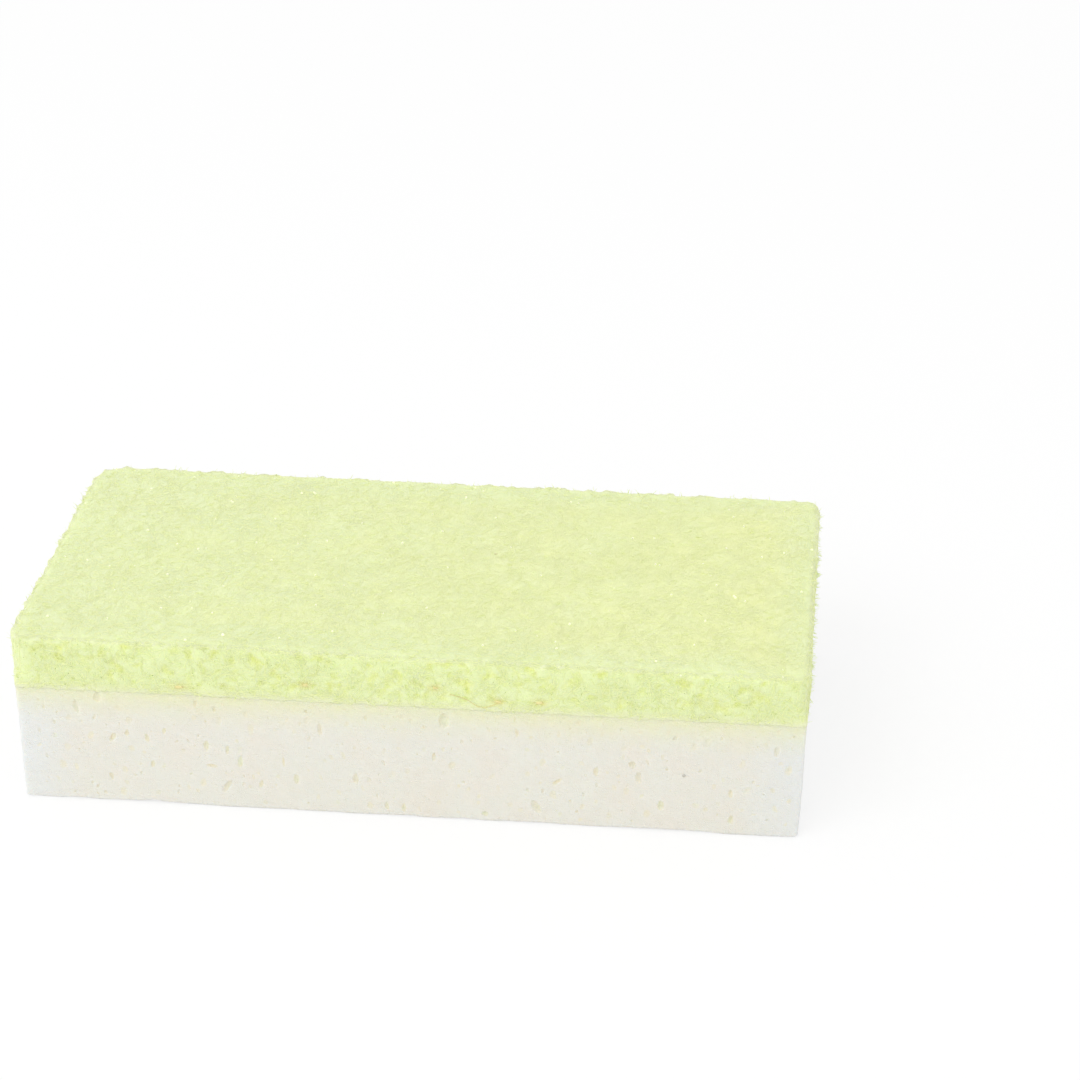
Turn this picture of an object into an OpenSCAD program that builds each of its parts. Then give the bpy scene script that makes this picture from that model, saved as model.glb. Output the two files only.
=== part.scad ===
// Cleaning sponge: a block of white open-cell foam with a non-woven scouring pad
// bonded over the whole of its top.
// The origin is the middle of the foam's underside. X runs along the block, Y across it
// and Z points up, through the foam and then the pad.

/* [Foam block] */
// Length of the block along X, measured at the bond
foam_length = 150; // [90:1:220]
// Width of the block along Y, measured at the bond
foam_width = 70; // [45:1:120]
// Thickness of the foam, from its underside up to the bond
foam_thickness = 25; // [15:0.5:60]
// How far each cut side leans in between the bond and the underside
side_lean = 0.5; // [0:0.1:1.5]
// Radius of the four upright corners
corner_radius = 0.8; // [0.4:0.1:4]
// Radius of the soft edge round the underside
foot_radius = 0.6; // [0.4:0.1:4]

/* [Open cells in the cut sides] */
// Height of the largest cells, along Z
cell_height = 3.8; // [1.5:0.1:5]
// Width of the largest cells, along the side
cell_width = 1.9; // [0.8:0.1:3]
// Depth of the largest cells, into the foam
cell_depth = 1.3; // [0.5:0.1:3]
// Smallest cell, as a share of the largest
cell_least = 0.5; // [0.3:0.05:1]
// Distance between the places of two cells along a side
cell_pitch = 10.5; // [6:0.5:30]
// Distance between two rows of cells, one above the other
cell_row_pitch = 6; // [5:0.5:15]
// Share of the places that hold a cell
cell_share = 0.8; // [0.2:0.05:1]
// Most that a cell leans off upright, in degrees
cell_tilt = 28; // [0:1:60]
// Height of the foam that stays closed under the bond
closed_under_bond = 1.5; // [0.5:0.5:6]
// Height of the foam that stays closed above the underside
closed_over_foot = 2; // [2:0.5:6]
// Length that stays closed beside each upright corner
closed_at_corner = 3; // [2:0.5:10]

/* [Scouring pad] */
// Thickness of the pad, from the bond up to its highest tufts
pad_thickness = 11; // [4:0.5:20]
// How far the pad's tufts stay inside the foam's outline
pad_setback = 0; // [0:0.1:2]
// Radius of the rounded rim round the top of the pad
pad_rim_radius = 1.6; // [0.5:0.1:3.5]
// Distance between neighbouring tufts of the web
tuft_pitch = 2.4; // [2:0.1:8]
// Depth of the hollows between the tufts on the top
tuft_depth = 0.6; // [0.1:0.1:1.5]
// Depth of the hollows between the tufts round the cut edge
edge_depth = 1; // [0.1:0.1:2]
// Depth of the hollows where the pad's edge meets the foam
bond_depth = 0.3; // [0.1:0.1:2]
// Extra depth of the larger holes in the cut edge
pit_depth = 1.1; // [0:0.1:2]
// Share of the places round the cut edge that hold a larger hole
pit_share = 0.16; // [0:0.02:0.5]

/* [Hidden] */

// Straight steps that stand for the quarter round at the foot
FOOT_STEPS = 5;
// Facets round one cell's mouth
CELL_FACETS = 9;
// How far a cell's cutter stands out of the foam, for a clean mouth
CELL_LIP = 0.3;
// Where a cell's wall bends, as a share of its depth, and its size there
CELL_BEND = 0.6;
CELL_BEND_SIZE = 0.74;
// Most that a cell's outline is drawn in, as a share of its size
CELL_UNEVEN = 0.25;
// Facets of a round corner
$fn = 48;
// Seeds of the scatters, so that every build gives the same sponge
CELL_SEED = 310;
TUFT_SEED = 77;
// Colours of the foam and of the pad
FOAM_COLOUR = [0.93, 0.92, 0.87];
PAD_COLOUR = [0.90, 0.94, 0.70];

// Span of the places that a number of cells share out, and how many fit in it
cell_zone_low = closed_over_foot + cell_height / 2;
cell_zone_high = foam_thickness - closed_under_bond - cell_height / 2;
cell_rows = max(1, floor((cell_zone_high - cell_zone_low) / cell_row_pitch) + 1);

// Outline of the pad, its round corners and the places of its tufts
pad_length = foam_length - 2 * pad_setback;
pad_width = foam_width - 2 * pad_setback;
rim = min(pad_rim_radius, pad_thickness / 2);
tufts_x = round(pad_length / tuft_pitch);
tufts_y = round(pad_width / tuft_pitch);
tufts_z = max(2, round(pad_thickness / tuft_pitch));
edge_tufts = 2 * (tufts_x + tufts_y);
top_points = (tufts_x + 1) * (tufts_y + 1);
point_count = top_points + edge_tufts * tufts_z;
lift = rands(0, 1, point_count, TUFT_SEED);
hole = rands(0, 1, point_count, TUFT_SEED + 1);

// How far a cut side lies inside the block's outline at height z
function lean_at(z) = side_lean * (1 - z / foam_thickness);

// Points of the arc that rounds corner b of a line a-b-c, met at both ends without a kink
function rounded(a, b, c, r, steps) =
    let(
        to_a = (a - b) / norm(a - b),
        to_c = (c - b) / norm(c - b),
        half = acos(to_a * to_c) / 2,
        middle = b + (to_a + to_c) / norm(to_a + to_c) * r / sin(half),
        first = b + to_a * r / tan(half) - middle,
        last = b + to_c * r / tan(half) - middle,
        turn = acos(first * last / (r * r)),
        way = sign(first.x * last.y - first.y * last.x)
    )
    [
        for (i = [0:steps])
            let(angle = way * turn * i / steps)
            middle + [
                first.x * cos(angle) - first.y * sin(angle),
                first.x * sin(angle) + first.y * cos(angle)
            ]
    ];

// Section of the block across one of its two spans: straight at the bond, round at the foot
function block_section(span) =
    let(
        bond_left = [-span / 2, foam_thickness],
        bond_right = [span / 2, foam_thickness],
        foot_left = [-span / 2 + side_lean, 0],
        foot_right = [span / 2 - side_lean, 0]
    )
    concat(
        [bond_right, bond_left],
        rounded(bond_left, foot_left, foot_right, foot_radius, FOOT_STEPS),
        rounded(foot_left, foot_right, bond_right, foot_radius, FOOT_STEPS)
    );

// Plan of the block at the bond, with its upright corners rounded
module block_plan() {
    inner_x = foam_length - 2 * corner_radius;
    inner_y = foam_width - 2 * corner_radius;
    square([foam_length, inner_y], center = true);
    square([inner_x, foam_width], center = true);
    for (sx = [-1, 1], sy = [-1, 1])
        translate([sx * inner_x / 2, sy * inner_y / 2])
            circle(r = corner_radius);
}

// The block before its cells are opened
module plain_block() {
    intersection() {
        linear_extrude(foam_thickness) block_plan();
        rotate([90, 0, 0])
            linear_extrude(foam_width, center = true)
                polygon(block_section(foam_length));
        rotate([90, 0, 90])
            linear_extrude(foam_length, center = true)
                polygon(block_section(foam_width));
    }
}

// One open cell: an uneven upright oval pocket, whose mouth lies in the plane y = 0. Its
// wall goes straight in, bends and closes on one deepest point.
module open_cell(size, tilt, seed) {
    draw_in = rands(1 - CELL_UNEVEN, 1, CELL_FACETS, seed);
    turns = [0:CELL_FACETS - 1];
    function ring(y, share) = [
        for (n = turns)
            let(angle = 360 * n / CELL_FACETS, reach = size * share * draw_in[n] / 2)
            [reach * cell_width * cos(angle), y, reach * cell_height * sin(angle)]
    ];
    depth = size * cell_depth;
    points = concat(
        ring(-CELL_LIP, 1),
        ring(depth * CELL_BEND, CELL_BEND_SIZE),
        [[0, depth, 0]]
    );
    mouth = [for (n = turns) CELL_FACETS - 1 - n];
    wall = [
        for (n = turns)
            let(next = (n + 1) % CELL_FACETS)
            each [
                [n, next, n + CELL_FACETS],
                [next, next + CELL_FACETS, n + CELL_FACETS],
                [n + CELL_FACETS, next + CELL_FACETS, 2 * CELL_FACETS]
            ]
    ];
    rotate([0, tilt, 0])
        polyhedron(points, concat([mouth], wall));
}

// The cells of one cut side, which faces -Y and is run long
module side_cells(run, seed) {
    zone = run - 2 * (closed_at_corner + cell_height / 2);
    columns = max(1, floor(zone / cell_pitch) + 1);
    row_step = (cell_zone_high - cell_zone_low) / max(1, cell_rows - 1);
    free_x = (cell_pitch - cell_height) / 2;
    free_z = max(0, row_step - cell_height) / 2;
    for (column = [0:columns - 1], row = [0:cell_rows - 1]) {
        draw = rands(0, 1, 5, seed + column + row * columns);
        x = (column - (columns - 1) / 2) * cell_pitch + free_x * (2 * draw[0] - 1);
        z = cell_zone_low + row * row_step + free_z * (2 * draw[1] - 1);
        size = cell_least + (1 - cell_least) * draw[2];
        if (draw[3] < cell_share)
            translate([x, lean_at(z), z])
                open_cell(size, cell_tilt * (2 * draw[4] - 1), seed + column + row * columns);
    }
}

// The foam: one block with open cells in its four cut sides and a plain underside
module foam_block() {
    color(FOAM_COLOUR)
        difference() {
            plain_block();
            for (side = [0:3])
                rotate([0, 0, 90 * side])
                    translate([0, -(side % 2 == 0 ? foam_width : foam_length) / 2, 0])
                        side_cells(side % 2 == 0 ? foam_length : foam_width, CELL_SEED * (side + 1));
        }
}

// Place on the pad's top grid of the edge tuft with this number, going round anticlockwise
function edge_place(n) =
    n < tufts_x ? [n, 0]
    : n < tufts_x + tufts_y ? [tufts_x, n - tufts_x]
    : n < 2 * tufts_x + tufts_y ? [2 * tufts_x + tufts_y - n, tufts_y]
    : [0, edge_tufts - n];

// A point of the pad's skin before it is roughened, with its outward direction. The upright
// corners and the rim round the top are rounded by one rule: a point of the plain slab is
// pulled onto a round about the nearest point of the smaller slab inside it.
function skin(p) =
    let(
        inside = [
            sign(p.x) * min(abs(p.x), pad_length / 2 - rim),
            sign(p.y) * min(abs(p.y), pad_width / 2 - rim),
            min(p.z, pad_thickness - rim)
        ],
        out = p - inside
    )
    [inside + rim * out / norm(out), out / norm(out)];

// A point of the skin, roughened inwards so that no tuft passes the pad's outline
function tuft_point(p, index, depth, flat) =
    let(
        s = skin(p),
        way = flat ? [s[1].x, s[1].y, 0] : s[1]
    )
    s[0] - way * depth * lift[index];

// Points of the pad: the top grid row by row, then the rings round the cut edge, going down
function pad_points() = concat(
    [
        for (j = [0:tufts_y], i = [0:tufts_x])
            tuft_point(
                [
                    pad_length * (i / tufts_x - 0.5),
                    pad_width * (j / tufts_y - 0.5),
                    pad_thickness
                ],
                i + j * (tufts_x + 1),
                tuft_depth,
                false
            )
    ],
    [
        for (k = [1:tufts_z], n = [0:edge_tufts - 1])
            let(
                place = edge_place(n),
                index = top_points + (k - 1) * edge_tufts + n,
                last = k == tufts_z,
                pit = !last && hole[index] < pit_share ? pit_depth : 0
            )
            tuft_point(
                [
                    pad_length * (place.x / tufts_x - 0.5),
                    pad_width * (place.y / tufts_y - 0.5),
                    pad_thickness * (1 - k / tufts_z)
                ],
                index,
                last ? bond_depth : edge_depth + pit,
                last
            )
    ]
);

// Number of a point of ring k at edge place n. Ring 0 is the top grid's own border.
function ring_point(k, n) =
    let(m = n % edge_tufts, place = edge_place(m))
    k == 0 ? place.x + place.y * (tufts_x + 1)
    : top_points + (k - 1) * edge_tufts + m;

// Two triangles over four points, cut along one diagonal or the other by turns
function quad(a, b, c, d, turn) =
    turn % 2 == 0 ? [[a, d, c], [a, c, b]] : [[a, d, b], [b, d, c]];

// Triangles of the pad's skin, and its flat underside as one polygon
function pad_faces() = concat(
    [
        for (j = [0:tufts_y - 1], i = [0:tufts_x - 1])
            let(a = i + j * (tufts_x + 1), up = a + tufts_x + 1)
            each quad(a, a + 1, up + 1, up, i + j)
    ],
    [
        for (k = [0:tufts_z - 1], n = [0:edge_tufts - 1])
            each quad(
                ring_point(k + 1, n),
                ring_point(k + 1, n + 1),
                ring_point(k, n + 1),
                ring_point(k, n),
                k + n
            )
    ],
    [[for (n = [0:edge_tufts - 1]) ring_point(tufts_z, n)]]
);

// The scouring pad: a lofty web with a tufted top and a ragged cut edge, flat on the foam
module scouring_pad() {
    color(PAD_COLOUR)
        translate([0, 0, foam_thickness])
            polyhedron(pad_points(), pad_faces());
}

foam_block();
scouring_pad();
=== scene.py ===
"""Looks of a cleaning sponge: a block of white open-cell foam under a yellow-green scouring pad.

All places and sizes are in metres, in the part's own frame: X runs along the block, Y across it
and Z up from the surface that the foam rests on. The foam is a closed skin with its open cells
and pinholes cut in as real pockets. The pad is a roughened body under a web of fibres.
"""

import itertools
import logging
import math
from collections.abc import Iterable, Mapping, Sequence
from dataclasses import dataclass, field, replace
from enum import Enum

import bmesh
import bpy
import numpy as np
from mathutils import Matrix, Vector
from mathutils.bvhtree import BVHTree
from mathutils.geometry import delaunay_2d_cdt


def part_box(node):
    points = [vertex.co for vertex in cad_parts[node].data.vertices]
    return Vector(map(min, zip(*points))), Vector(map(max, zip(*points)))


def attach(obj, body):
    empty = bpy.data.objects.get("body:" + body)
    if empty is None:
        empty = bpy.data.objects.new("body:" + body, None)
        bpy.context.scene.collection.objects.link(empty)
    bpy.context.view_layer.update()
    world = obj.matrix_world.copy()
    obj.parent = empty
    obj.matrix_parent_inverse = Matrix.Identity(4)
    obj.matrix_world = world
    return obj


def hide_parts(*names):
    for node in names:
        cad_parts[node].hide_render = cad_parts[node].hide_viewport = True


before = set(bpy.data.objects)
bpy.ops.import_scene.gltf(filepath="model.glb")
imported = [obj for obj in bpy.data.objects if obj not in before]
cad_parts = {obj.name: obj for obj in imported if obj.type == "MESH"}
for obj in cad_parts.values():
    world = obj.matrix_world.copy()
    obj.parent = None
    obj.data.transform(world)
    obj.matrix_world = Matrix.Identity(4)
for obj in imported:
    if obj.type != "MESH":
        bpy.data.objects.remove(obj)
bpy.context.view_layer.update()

LOG = logging.getLogger("sponge")
MM = 0.001
BODY = "root"
WELD = 1e-7
WHITE = (1.0, 1.0, 1.0, 1.0)
HALF_EACH_WAY = (0.5, 0.5, 0.5)
FULL_TURN = 2 * math.pi
Colour = tuple[int, int, int]

# A screen's brightness rises in a straight line at its foot, and then with a power.
SCREEN_FOOT = 0.04045
SCREEN_SLOPE = 12.92
SCREEN_SHIFT = 0.055
SCREEN_POWER = 2.4

# Large odd numbers that scramble a place's key, so that neighbours get unlike values.
NOISE_STEPS = np.array([73856093, 19349663, 83492791])
NOISE_SEED = 6364136
NOISE_MIXERS = ((13, 1274126177), (16, 2246822519))
KEY_BITS = 0xFFFFFFFF


def linear(red: int, green: int, blue: int) -> tuple[float, float, float, float]:
    """Turns a colour of a screen, 0 to 255, into the linear colour that a shader takes.

    Args:
        red: Red of the screen's colour.
        green: Green of the screen's colour.
        blue: Blue of the screen's colour.

    Returns:
        The linear colour with an alpha of 1.
    """
    shares = [channel / 255 for channel in (red, green, blue)]
    light = [
        share / SCREEN_SLOPE
        if share <= SCREEN_FOOT
        else ((share + SCREEN_SHIFT) / (1 + SCREEN_SHIFT)) ** SCREEN_POWER
        for share in shares
    ]
    return (*light, 1.0)


def clouds(points: np.ndarray, size: float, seed: int) -> np.ndarray:
    """Smooth noise from -1 to 1, the same on every run.

    Args:
        points: Places, one row each.
        size: Distance over which the noise changes.
        seed: Which noise.

    Returns:
        One value for each point.
    """
    cell = np.floor(points / size).astype(np.int64)
    share = points / size - cell
    share = share * share * (3 - 2 * share)
    total = np.zeros(len(points))
    for corner in itertools.product((0, 1), repeat=3):
        key = (cell + corner) @ NOISE_STEPS + seed * NOISE_SEED
        for shift, mixer in NOISE_MIXERS:
            key = (key ^ (key >> shift)) * mixer & KEY_BITS
        weight = np.prod(np.where(corner, share, 1 - share), axis=1)
        total += weight * ((key >> 8 & 0xFFFF) / 0x7FFF - 1)
    return total


class Socket:
    """An output of a node that takes part in Python arithmetic."""

    def __init__(self, tree: "Tree", output: bpy.types.NodeSocket) -> None:
        """Wraps an output.

        Args:
            tree: The tree that the output is in.
            output: The output.
        """
        self.tree = tree
        self.output = output

    def __add__(self, other: object) -> "Socket":
        """This plus the other."""
        return self.tree.number("ADD", self, other)

    def __radd__(self, other: object) -> "Socket":
        """The other plus this."""
        return self.tree.number("ADD", other, self)

    def __sub__(self, other: object) -> "Socket":
        """This less the other."""
        return self.tree.number("SUBTRACT", self, other)

    def __rsub__(self, other: object) -> "Socket":
        """The other less this."""
        return self.tree.number("SUBTRACT", other, self)

    def __mul__(self, other: object) -> "Socket":
        """This times the other."""
        return self.tree.number("MULTIPLY", self, other)

    def __rmul__(self, other: object) -> "Socket":
        """The other times this."""
        return self.tree.number("MULTIPLY", other, self)

    def __rtruediv__(self, other: object) -> "Socket":
        """The other divided by this."""
        return self.tree.number("DIVIDE", other, self)

    def clamped(self, low: float = 0.0, high: float = 1.0) -> "Socket":
        """This, stretched so that low becomes 0 and high becomes 1, and held between them."""
        return self.tree.node(
            "ShaderNodeMapRange", {"clamp": True}, {"Value": self, "From Min": low, "From Max": high}
        )


class Tree:
    """A node tree whose nodes all come from one method."""

    def __init__(self, nodes: bpy.types.NodeTree) -> None:
        """Starts on an empty tree.

        Args:
            nodes: The tree to fill.
        """
        self.nodes = nodes
        self.nodes.nodes.clear()

    def node(
        self,
        kind: str,
        settings: Mapping[str, object] | None = None,
        inputs: Mapping[str | int, object] | None = None,
        output: str | int = 0,
    ) -> Socket:
        """Adds one node.

        Args:
            kind: The node's type.
            settings: The node's own settings, which are set first.
            inputs: A value or a Socket for each input that is set, by name or number.
            output: The output that is wanted.

        Returns:
            That output.
        """
        made = self.nodes.nodes.new(kind)
        for name, value in (settings or {}).items():
            setattr(made, name, value)
        for name, value in (inputs or {}).items():
            if isinstance(value, Socket):
                self.nodes.links.new(value.output, made.inputs[name])
            else:
                made.inputs[name].default_value = value
        return Socket(self, made.outputs[output]) if len(made.outputs) else Socket(self, None)

    def other(self, socket: Socket, output: str) -> Socket:
        """Another output of the node that a socket belongs to."""
        return Socket(self, socket.output.node.outputs[output])

    def number(self, operation: str, first: object, second: object = 0.0) -> Socket:
        """Adds one Math node."""
        return self.node("ShaderNodeMath", {"operation": operation}, {0: first, 1: second})

    def vector(self, operation: str, first: object, second: object) -> Socket:
        """Adds one Vector Math node over two vectors."""
        return self.node("ShaderNodeVectorMath", {"operation": operation}, {0: first, 1: second})

    def scaled(self, vector: object, share: object) -> Socket:
        """A vector times a value."""
        return self.node("ShaderNodeVectorMath", {"operation": "SCALE"}, {0: vector, "Scale": share})


class Shader(Tree):
    """The node tree of one material."""

    def __init__(self, name: str) -> None:
        """Starts a material.

        Args:
            name: The material's name.
        """
        self.material = bpy.data.materials.new(name)
        self.material.use_nodes = True
        super().__init__(self.material.node_tree)
        self.place = self.node("ShaderNodeTexCoord", output="Object")

    def shifted(self, seed: float) -> Socket:
        """The place in the part's own frame, moved on by a seed."""
        return self.node("ShaderNodeMapping", {}, {"Vector": self.place, "Location": (seed, seed, seed)})

    def noise(self, size: float, detail: float = 2.0, seed: float = 0.0) -> Socket:
        """Noise from about 0 to 1 that changes over a size in metres."""
        values = {"Vector": self.shifted(seed), "Scale": 1 / size, "Detail": detail}
        return self.node("ShaderNodeTexNoise", {}, values)

    def walls(self, place: Socket, size: float) -> Socket:
        """Distance to the nearest wall of a pattern of cells, as a share of their size."""
        values = {"Vector": place, "Scale": 1 / size}
        return self.node("ShaderNodeTexVoronoi", {"feature": "DISTANCE_TO_EDGE"}, values)

    def attribute(self, name: str) -> Socket:
        """The value of a mesh attribute."""
        return self.node("ShaderNodeAttribute", {"attribute_name": name}, output="Fac")

    def strands(self, size: float, seed: float) -> Socket:
        """Crossing strands of a web.

        Args:
            size: The distance between strands, in metres.
            seed: Which strands.

        Returns:
            1 on a strand and 0 between them.
        """
        place = self.shifted(seed)
        values = {"Vector": place, "Scale": 0.5 / size, "Detail": 1.0}
        bend = self.node("ShaderNodeTexNoise", {}, values, output="Color")
        warped = self.vector("ADD", place, self.scaled(bend, 2.5 * size))
        return 1.0 - self.walls(warped, size).clamped(0.02, 0.16)

    def mix(self, share: object, first: Socket | Colour, second: Socket | Colour) -> Socket:
        """A colour between two.

        Args:
            share: How much of the second there is, from 0 to 1.
            first: A socket, or a colour of a screen.
            second: A socket, or a colour of a screen.

        Returns:
            The mixed colour.
        """
        low, high = (end if isinstance(end, Socket) else linear(*end) for end in (first, second))
        # Inputs 6 and 7 and output 2 are the node's own ones for colours.
        return self.node("ShaderNodeMix", {"data_type": "RGBA"}, {0: share, 6: low, 7: high}, output=2)

    def bump(self, height: Socket, distance: float, strength: float) -> Socket:
        """A normal that is roughened by a height."""
        values = {"Height": height, "Distance": distance, "Strength": strength}
        return self.node("ShaderNodeBump", {}, values)

    def finish(self, surface: Socket) -> bpy.types.Material:
        """Ends the tree on a surface and gives the material."""
        self.node("ShaderNodeOutputMaterial", {}, {"Surface": surface})
        return self.material

    def coloured(self, colour: Socket, values: Mapping[str, object]) -> bpy.types.Material:
        """Ends the tree on a surface of one colour.

        Args:
            colour: The colour, also of the glow where the values give it no other.
            values: The surface's other values, by the input's name.

        Returns:
            The material.
        """
        base = {"Base Color": colour, "Emission Color": colour}
        return self.finish(self.node("ShaderNodeBsdfPrincipled", {}, {**base, **values}))


@dataclass(frozen=True)
class FoamFinish:
    """White open-cell foam: matte and cream in the middle, with painted light and shade.

    Its cells carry a warm painted shade, stronger where they are deeper. Below the bond the pad's
    yellow-green light is painted on it, and its glow in the last half millimetre under the bond is
    the light that comes over from the pad.
    """

    face: Colour = (234, 233, 225)
    warm_face: Colour = (235, 231, 222)
    cool_face: Colour = (232, 234, 233)
    # Painted shade: the cells' warm colours stand in for the shade inside the open cells.
    cell: Colour = (238, 232, 206)
    green_pit_shade: Colour = (235, 236, 208)
    # Painted light: the pad's yellow-green light, painted on the foam below the bond.
    painted_pad_light: Colour = (236, 238, 184)
    patch: float = 9.0 * MM
    end_patch: float = 8.0 * MM
    end_reach: float = 9.0 * MM
    end_wander: float = 6.0 * MM
    pad_light_share: float = 0.72
    tint_patch: float = 2.5 * MM
    tint_reach: float = 9.0 * MM
    tint_past: float = 0.3 * MM
    tint_wander: float = 3.5 * MM
    hue_patch: float = 5.0 * MM
    fine_cell: float = 0.42 * MM
    fine_pit_shade: float = 0.16
    grain: float = 0.18 * MM
    roughness: float = 0.92
    shine: float = 0.2
    soaks: float = 0.75
    soak_reach: float = 1.1 * MM
    soak_colours: tuple[float, float, float] = (1.0, 0.9, 0.8)
    crossing: float = 0.5 * MM
    glow: float = 0.07

    def build(self, bond_height: float, half_length: float) -> bpy.types.Material:
        """Makes the material.

        Args:
            bond_height: Height of the bond, where the pad's tint is strongest.
            half_length: Half of the block's length. The foam is whiter at its two ends.

        Returns:
            The material.
        """
        tree = Shader("foam_finish")
        along = tree.node("ShaderNodeSeparateXYZ", {}, {0: tree.place}, output="X")
        height = tree.other(along, "Z")
        patch = tree.noise(self.patch, 3).clamped(0.4, 0.7)
        face = tree.mix(patch, self.face, self.warm_face)
        past = tree.number("ABSOLUTE", along) + tree.noise(self.end_patch, 2, 0.6) * self.end_wander
        ends = past.clamped(half_length - self.end_reach, half_length + self.end_wander / 2)
        face = tree.mix(ends, face, self.cool_face)
        # Painted light: the pad's yellow-green light, painted on the foam in a wavering band below the
        # bond.
        wander = (tree.noise(self.tint_patch, 3, 0.3) - 0.5) * self.tint_wander
        near_bond = (height + wander).clamped(bond_height - self.tint_reach, bond_height + self.tint_past)
        face = tree.mix(near_bond * near_bond * self.pad_light_share, face, self.painted_pad_light)
        hue = tree.noise(self.hue_patch, 1, 0.8).clamped(0.54, 0.7)
        cell = tree.mix(hue, self.cell, self.green_pit_shade)
        # Painted shade: the cells' warm colour goes into each pocket by its depth and into the fine pattern
        # of pits.
        fine = tree.walls(tree.place, self.fine_cell).clamped(0.04, 0.34)
        share = tree.attribute("cell") + fine * self.fine_pit_shade
        colour = tree.mix(share.clamped(), face, cell)
        relief = tree.noise(self.grain, 2, 0.7) * 0.5 - fine * 0.8
        crossed = height.clamped(bond_height - self.crossing, bond_height)
        return tree.coloured(
            colour,
            {
                "Roughness": self.roughness,
                "Specular IOR Level": self.shine,
                "Subsurface Weight": self.soaks,
                "Subsurface Radius": self.soak_colours,
                "Subsurface Scale": self.soak_reach,
                "Emission Color": tree.scaled(colour, crossed),
                "Emission Strength": self.glow,
                "Normal": tree.bump(relief, self.grain, 0.6),
            },
        )


@dataclass(frozen=True)
class WebFinish:
    """The pad's body: resin-bonded fibre, pale on its tufts, with painted light and shade.

    A deeper yellow-green in its hollows and a darker colour along the crest of its rim are painted
    shade. Its change from cooler at its left end and round its border to yellower at its right is a
    painted reflection of yellow light from the right, and it is painted paler above the bond with the
    foam's light. Its small glow gives back the light that a web scatters on after the last bounce that
    is traced. The glow is stronger in the last half millimetre above the bond, where light comes over
    from the foam.
    """

    # Painted reflection: the first colour is the yellower one to the right, the second the cooler one at
    # the left end and round the border.
    tuft: Colour = (240, 247, 179)
    cool_lit_tuft: Colour = (234, 245, 190)
    # Painted shade: the deeper yellow-green of the hollows.
    hollow_shade: Colour = (238, 245, 163)
    # Painted shade: the darker colour along the crest of the rim, which the light catches more.
    rim: Colour = (225, 233, 184)
    # Painted light: the foam's pale light, painted on the web just above the bond.
    bonded: Colour = (240, 245, 198)
    amber: Colour = (236, 230, 152)
    patch: float = 9.0 * MM
    border: float = 10.0 * MM
    bonded_past: float = 0.4 * MM
    bonded_reach: float = 1.9 * MM
    bonded_wander: float = 1.6 * MM
    stain_patch: float = 1.4 * MM
    strand: float = 0.8 * MM
    fine_strand: float = 0.5 * MM
    grain: float = 0.3 * MM
    relief: float = 0.12 * MM
    roughness: float = 0.8
    shine: float = 0.3
    soaks: float = 0.8
    soak_reach: float = 2.0 * MM
    soak_colours: tuple[float, float, float] = (1.0, 1.0, 0.8)
    crossing_past: float = 0.3 * MM
    crossing: float = 0.6 * MM
    glow: float = 0.16
    glow_away: float = 0.06

    def build(self, low: Vector, high: Vector) -> bpy.types.Material:
        """Makes the material.

        Args:
            low: The pad's lowest corner.
            high: The pad's highest corner.

        Returns:
            The material.
        """
        tree = Shader("web_finish")
        along = tree.node("ShaderNodeSeparateXYZ", {}, {0: tree.place}, output="X")
        across, height = tree.other(along, "Y"), tree.other(along, "Z")
        # Painted reflection: cooler at the left end and round the border, yellower to the right; the patch
        # noise is the web's own uneven colour.
        patch = (tree.noise(self.patch, 3) - 0.5) * 1.2
        past_end = tree.number("ABSOLUTE", along) - high.x
        past_side = tree.number("ABSOLUTE", across) - high.y
        border = tree.number("MAXIMUM", past_end, past_side).clamped(-self.border, -0.1 * self.border)
        cool_light_share = patch + 0.55 - along * (0.45 / high.x) + border * 0.8
        colour = tree.mix(cool_light_share.clamped(), self.tuft, self.cool_lit_tuft)
        # Painted shade: the hollows are painted a deeper yellow-green.
        colour = tree.mix(tree.attribute("hollow_shade").clamped(), colour, self.hollow_shade)
        # Painted shade along the crest of the rim.
        colour = tree.mix(tree.attribute("rim").clamped(), colour, self.rim)
        # Painted light: the web is painted paler in a wavering band just above the bond.
        wandered = height + (tree.noise(self.bonded_wander, 2, 0.3) - 0.5) * self.bonded_wander
        near_bond = 1.0 - wandered.clamped(low.z - self.bonded_past, low.z + self.bonded_reach)
        colour = tree.mix(near_bond, colour, self.bonded)
        soaked = tree.attribute("adhesive") * (tree.noise(self.stain_patch, 2, 0.9) * 0.8 + 0.6)
        colour = tree.mix(soaked.clamped(), colour, self.amber)
        crossed = 1.0 - height.clamped(low.z - self.crossing_past, low.z + self.crossing)
        glow = tree.scaled(colour, crossed * (1.0 - self.glow_away) + self.glow_away)
        strands = tree.strands(self.strand, 0.1) + tree.strands(self.fine_strand, 0.5) * 0.6
        return tree.coloured(
            colour,
            {
                "Roughness": self.roughness,
                "Specular IOR Level": self.shine,
                "Subsurface Weight": self.soaks,
                "Subsurface Radius": self.soak_colours,
                "Subsurface Scale": self.soak_reach,
                "Emission Color": glow,
                "Emission Strength": self.glow,
                "Normal": tree.bump(strands + tree.noise(self.grain, 2, 0.2), self.relief, 0.4),
            },
        )


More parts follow.
